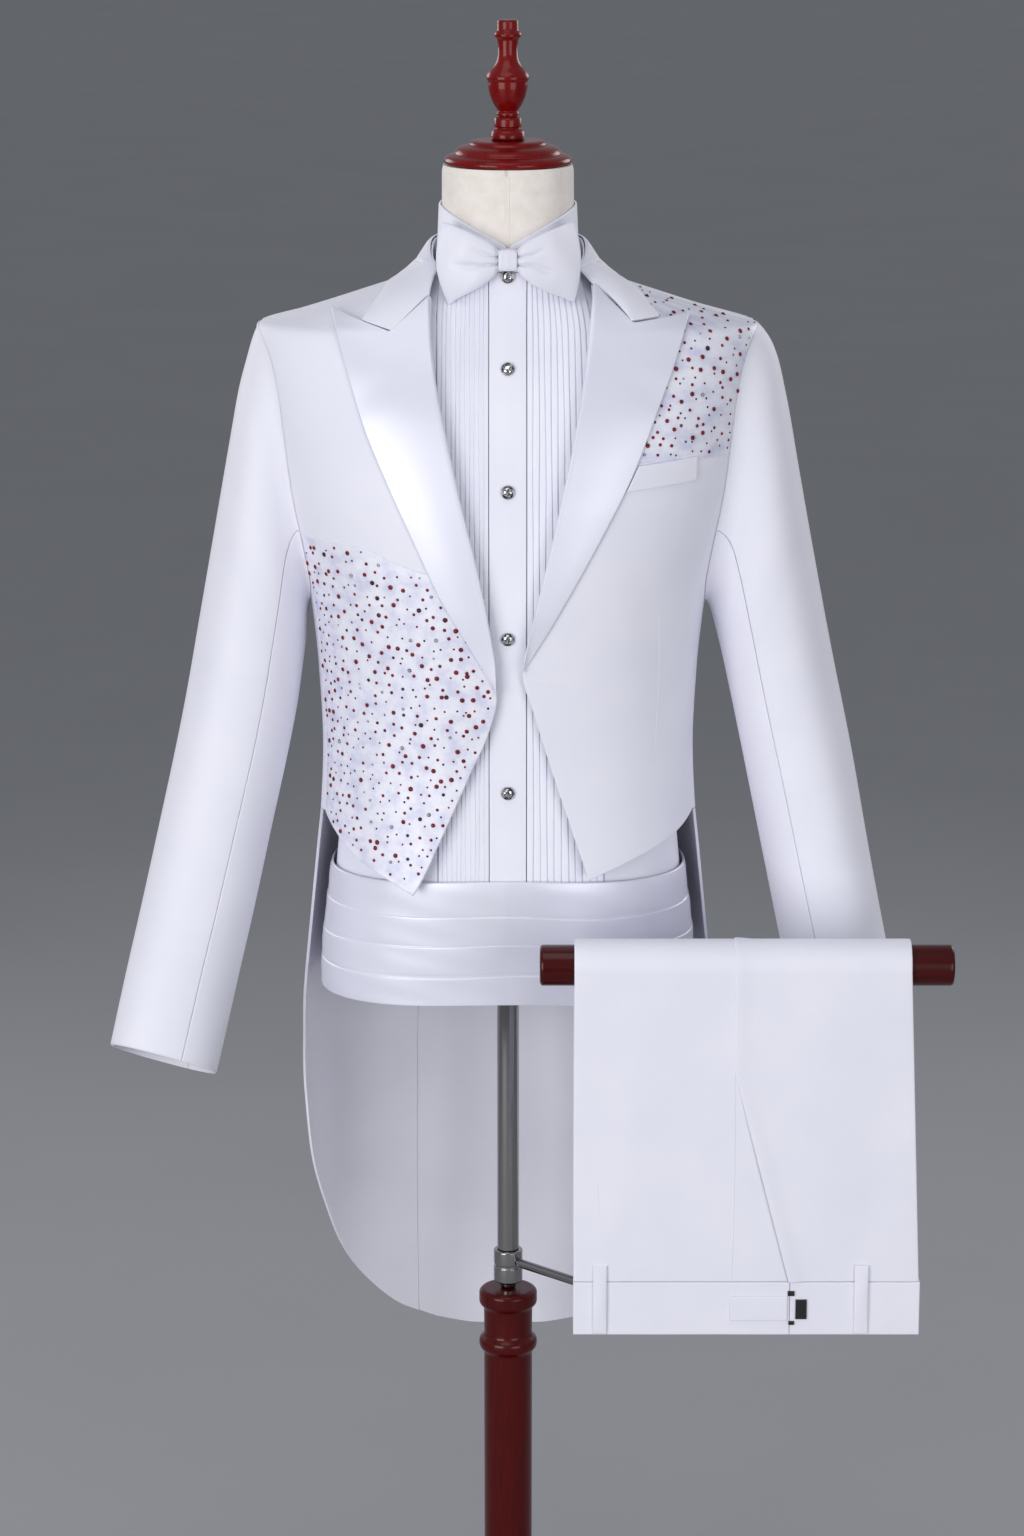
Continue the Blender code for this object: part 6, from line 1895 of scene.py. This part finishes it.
    def waist(self) -> None:
        """Bands, belt loops, tab, hook and stitching."""
        face = self.bar_y - self.bar_radius - self.front_lift - self.wall
        top, band, low = self.waist_seam_z - SEAM / 2, 1.6 * MM, self.waist_end_z
        left = float(self.left_side((self.waist_seam_z + low) / 2))
        front = face - 0.2 * MM, face + band
        self.slab("waistband_front_r", (self.side_x[0], front[0], low),
                  (self.fly_x - SEAM / 2, front[1], top))
        self.slab("waistband_front_l", (self.fly_x + SEAM / 2, front[0], low), (left, front[1], top))
        back = self.bar_y - self.bar_radius - self.back_lift + self.hollow
        self.slab("waistband_back", (self.side_x[0], back - band, low), (left, back, top))
        for end, x, way in (("r", self.side_x[0], -1), ("l", left, 1)):
            y = face + band + 0.3 * MM, back - band - 0.3 * MM
            u, v = shares_for(y[1] - y[0])[None], shares_for(top - low)[:, None]
            across, up = y[0] + (y[1] - y[0]) * u, low + (top - low) * v
            bow = 0.3 * MM * np.sin(math.pi * u) * np.sin(math.pi * v)
            faces = [stacked(x - way * depth + way * bow, across, up) for depth in (0, band)]
            Cloth(f"waistband_end_{end}", *faces, stacked(across, up), SUITING, "folded",
                  ("waistband_back",)).build()
        proud = face - 0.5 * MM
        for end, x in (("r", 81.4), ("l", 312.6)):
            self.slab(f"belt_loop_{end}", ((x - 6.2) * MM, proud - 1.6 * MM, low + 1.5 * MM),
                      ((x + 6.2) * MM, proud, self.waist_seam_z + 16 * MM),
                      f"waistband_front_{end}", 2.0 * MM)
            self.rows(f"belt_loop_stitches_{end}", [(at, 566, at, 625) for at in (x - 4.6, x + 4.6)],
                      proud - 1.75 * MM)
        self.slab("waist_tab", (196.6 * MM, proud - 1.2 * MM, 575.5 * MM), (247.4 * MM, proud, 598.5 * MM),
                  "waistband_front_r", 0.5 * MM)
        sides = ((self.side_x[0] / MM + 3, self.fly_x / MM - 2), (self.fly_x / MM + 3, left / MM - 3))
        rows = [(x0, z, x1, z) for z in (top / MM - 2, low / MM + 2.4) for x0, x1 in sides]
        self.rows("waist_stitches", rows, face - 0.22 * MM)
        self.rows("tab_stitches", [(198.6, 577.6, 245.6, 577.6), (198.6, 596.4, 245.6, 596.4),
                                   (198.8, 577.6, 198.8, 596.4)], proud - 1.22 * MM)
        seams = ((self.middle / MM - 0.8, self.crotch_z / MM - 3, self.middle / MM - 1.4, top / MM + 0.5),
                 (78.5, 702, 81, 628))
        heap = Heap()
        for path in self.lines(seams, face, 1.2 * MM):
            heap.add(*tube_path(path, 0.42 * MM))
        Piece(heap.mesh("trouser_seam_lines"), THREAD).settle()
        self.hook(proud)

    def hook(self, proud: float) -> None:
        """The black hook's plate with its raised rim, and the slides at the tab's end."""
        heap = Heap()
        for x0, z0, x1, z1 in self.hook_plates:
            x = (x0 + (x1 - x0) * shares_for((x1 - x0) * MM, 0.8 * MM)[None]) * MM
            z = (z0 + (z1 - z0) * shares_for((z1 - z0) * MM, 0.8 * MM)[:, None]) * MM
            outer = stacked(x, proud - 1.2 * MM, z)
            near = edge_distance(outer)
            rim = np.exp(-((near - 1.1 * MM) / (0.5 * MM)) ** 2)
            outer[..., 1] += turned_in(near, 0.6 * MM) - 0.25 * MM * rim
            heap.add(*wall(outer, stacked(x, proud, z)))
        Piece(heap.mesh("waist_hook_plate"), BLACK_METAL, ("waist_hook",)).settle()

    def build(self) -> None:
        """Makes the trousers."""
        self.legs()
        self.waist()


# The stand.


@dataclass
class Stand:
    """Cap, finial, pole, clamp, rod, bar, column and base, turned about the upright axis."""

    finial: tuple = (
        (0, 1698.2), (8.6, 1698), (9.3, 1696.8), (9.3, 1688.9), (11.9, 1686.8), (11.9, 1683.6), (9.4, 1681.6),
        (8.6, 1674), (9, 1665), (11.6, 1659), (17.2, 1652.9), (18.9, 1650.2), (18.9, 1647.2),
        (17.6, 1645.2), (17.6, 1641), (16, 1632.6), (12.6, 1624.8), (8.6, 1618.8), (10, 1617.8),
        (10, 1615.4), (8.8, 1614.6), (12, 1613.2), (12.2, 1605.6), (10.8, 1604.2), (14.4, 1601.6),
        (15.1, 1598), (15, 1595), (14.2, 1593.9), (0, 1593.9),
    )
    cap: tuple = (
        (0, 1593.6), (30, 1593.6), (33.5, 1592.2), (34.6, 1589.6), (40, 1588.6), (44, 1587),
        (46.6, 1584.4), (47.4, 1581.8), (52.6, 1580.6), (56, 1578.2), (56.4, 1575), (54.6, 1572.9),
        (0, 1572.9),
    )
    column: tuple = (
        (0, 521.6), (24, 521.4), (27.2, 518.4), (27.2, 507), (22.8, 503), (22.4, 476), (27, 472),
        (27.2, 464), (22.6, 459), (22.4, 120), (25, 96), (30, 70), (36, 56), (42, 44),
        (42, 36.4), (0, 36.4),
    )
    base: tuple = (
        (0, 36), (120, 33), (158, 29), (170, 24), (175, 16), (175, 4), (172, 0), (0, 0),
    )
    pole: tuple = ((0, 837.6), (9.8, 837.6), (10.2, 837.2), (10.2, 560.9), (9.8, 560.5), (0, 560.5))
    clamp: tuple = (
        (0, 560.2), (12.4, 560.2), (13.6, 559), (13.6, 546.5), (12.9, 545.9), (12.9, 543.6), (13.6, 543),
        (13.6, 529.5), (12.4, 528.3), (7.8, 528.2), (7.8, 521.9), (0, 521.9),
    )
    rod_radius: float = 4.2 * MM
    rod_path: tuple = (
        (10.25, -9.55, 549), (78, -73, 549.5), (150, -141, 553.5), (190, -179, 562),
        (206, -194.5, 580), (211.5, -200, 606), (211.5, -200, 700), (211.5, -200, 878.4),
    )
    bar_half: float = 180.8
    bar_at: tuple = (208.6 * MM, -200 * MM, 897 * MM)

    def bar(self) -> None:
        """The trouser bar: a turned profile laid on its side by swapping its axes."""
        tip = ((14.5, 0), (16.2, 0.4), (17.4, 1.3), (18, 3))
        ends = [(radius, self.bar_half - drop) for radius, drop in tip]
        mirrored = [(radius, -z) for radius, z in ends[::-1]]
        profile = [(0, self.bar_half), *ends, *mirrored, (0, -self.bar_half)]
        obj = turned_mesh("trouser_bar_turned", profile, 72)
        place = np.empty(len(obj.data.vertices) * 3, np.float32)
        obj.data.vertices.foreach_get("co", place)
        place = place.reshape(-1, 3)[:, [2, 1, 0]] * [1, 1, -1] + self.bar_at
        obj.data.vertices.foreach_set("co", place.astype(np.float32).ravel())
        obj.data.update()
        Piece(obj, STAINED_BAR, ("trouser_bar",)).settle()

    def rod(self) -> None:
        """The bent rod from the clamp up to the bar: a tube along a smoothed path."""
        path = flowing(np.array(self.rod_path, float) * MM, 160)
        for _ in range(60):
            path[1:-1] = (path[:-2] + 2 * path[1:-1] + path[2:]) / 4
        rod = mesh_object("bar_arm_rod", *tube_path(path, self.rod_radius, 24))
        Piece(rod, CHROME, ("bar_arm",)).settle()

    def build(self) -> None:
        """Makes the stand."""
        for node, profile, finish, steps in (
                ("finial", self.finial, STAINED, 72), ("neck_cap", self.cap, STAINED, 128),
                ("column", self.column, STAINED_SHADED, 96), ("base", self.base, STAINED_SHADED, 160),
                ("pole", self.pole, CHROME, 96), ("pole_clamp", self.clamp, CHROME, 96)):
            Piece(turned_mesh(f"{node}_turned", profile, steps), finish, (node,)).settle()
        self.bar()
        self.rod()


# The studio.


@dataclass(frozen=True)
class Lamp:
    """One square soft light: where it stands, the place it looks at, its side and its power."""

    name: str
    at: tuple[float, float, float]
    to: tuple[float, float, float]
    size: float
    power: float


@dataclass
class Studio:
    """The floor, the lights and the camera at the photograph's viewing angle."""

    lamps: tuple = (
        Lamp("left_box", (-1.7, -2.3, 1.2), (0, 0, 1.05), 1.7, 40),
        Lamp("right_box", (1.5, -2.5, 1.05), (0, 0, 1.05), 1.5, 21),
        Lamp("top", (-0.3, -1.0, 3.2), (0, 0, 1.2), 1.5, 9),
        Lamp("back_left", (-1.9, 1.9, 2.0), (0, 0, 1.1), 1.3, 18),
        Lamp("back_right", (1.9, 1.9, 2.0), (0, 0, 1.0), 1.3, 18),
    )
    camera_at: tuple = (0.00365, -3.8, 1.98)
    tilt_down: float = 14.118
    lens: float = 100.78
    sky: tuple = (0.50, 0.52, 0.56, 1)
    sky_strength: float = 0.66

    def build(self) -> None:
        """Makes the studio."""
        graph = Graph("floor_paint")
        place = graph.object_place()
        cloud = graph.noise(place, 2.2, 3)
        graph.put("Base Color", graph.blend(cloud, (0.33, 0.335, 0.35), (0.30, 0.305, 0.32)))
        graph.put("Roughness", graph.noise(place, 60, 2) * 0.1 + 0.75)
        mesh = bpy.data.meshes.new("studio_floor")
        mesh.from_pydata([(-30, -30, 0), (30, -30, 0), (30, 30, 0), (-30, 30, 0)], [], [(0, 1, 2, 3)])
        floor = bpy.data.objects.new("studio_floor", mesh)
        bpy.context.scene.collection.objects.link(floor)
        mesh.materials.append(graph.material)
        for lamp in self.lamps:
            light = bpy.data.lights.new(lamp.name, "AREA")
            light.energy = lamp.power
            light.size = lamp.size
            obj = bpy.data.objects.new(lamp.name, light)
            bpy.context.scene.collection.objects.link(obj)
            obj.location = lamp.at
            aim = np.array(lamp.to) - np.array(lamp.at)
            flat = math.hypot(aim[0], aim[1])
            obj.rotation_euler = (math.pi / 2 + math.atan2(aim[2], flat), 0, math.atan2(-aim[0], aim[1]))
        world = bpy.data.worlds.new("studio_air")
        world.use_nodes = True
        sky = world.node_tree.nodes["Background"].inputs
        sky[0].default_value, sky[1].default_value = self.sky, self.sky_strength
        bpy.context.scene.world = world
        bpy.context.scene.view_settings.view_transform = "Standard"
        camera = bpy.data.cameras.new("camera")
        camera.lens = self.lens
        camera.sensor_width = 36
        camera.clip_end = 100
        holder = bpy.data.objects.new("camera", camera)
        bpy.context.scene.collection.objects.link(holder)
        holder.location = self.camera_at
        holder.rotation_euler = (math.radians(90 - self.tilt_down), 0, 0)
        bpy.context.scene.camera = holder


def main() -> None:
    """Builds every piece in order."""
    logging.basicConfig(level=logging.INFO, format="%(message)s")
    for finish in (SUITING, FACING, TIE, FIGURED, COTTON, LINEN, THREAD, STAINED, STAINED_SHADED, STAINED_BAR,
                   CHROME, BLACK_METAL, GARNET, CRYSTAL):
        MATERIALS[finish.name] = finish.build()
    Studio().build()
    form = DressForm()
    for part in (form, Shirt(form), Cummerbund(form), BowTie(), Tailcoat(), Trousers(), Stand()):
        part.build()


if __name__ == "__main__":
    main()
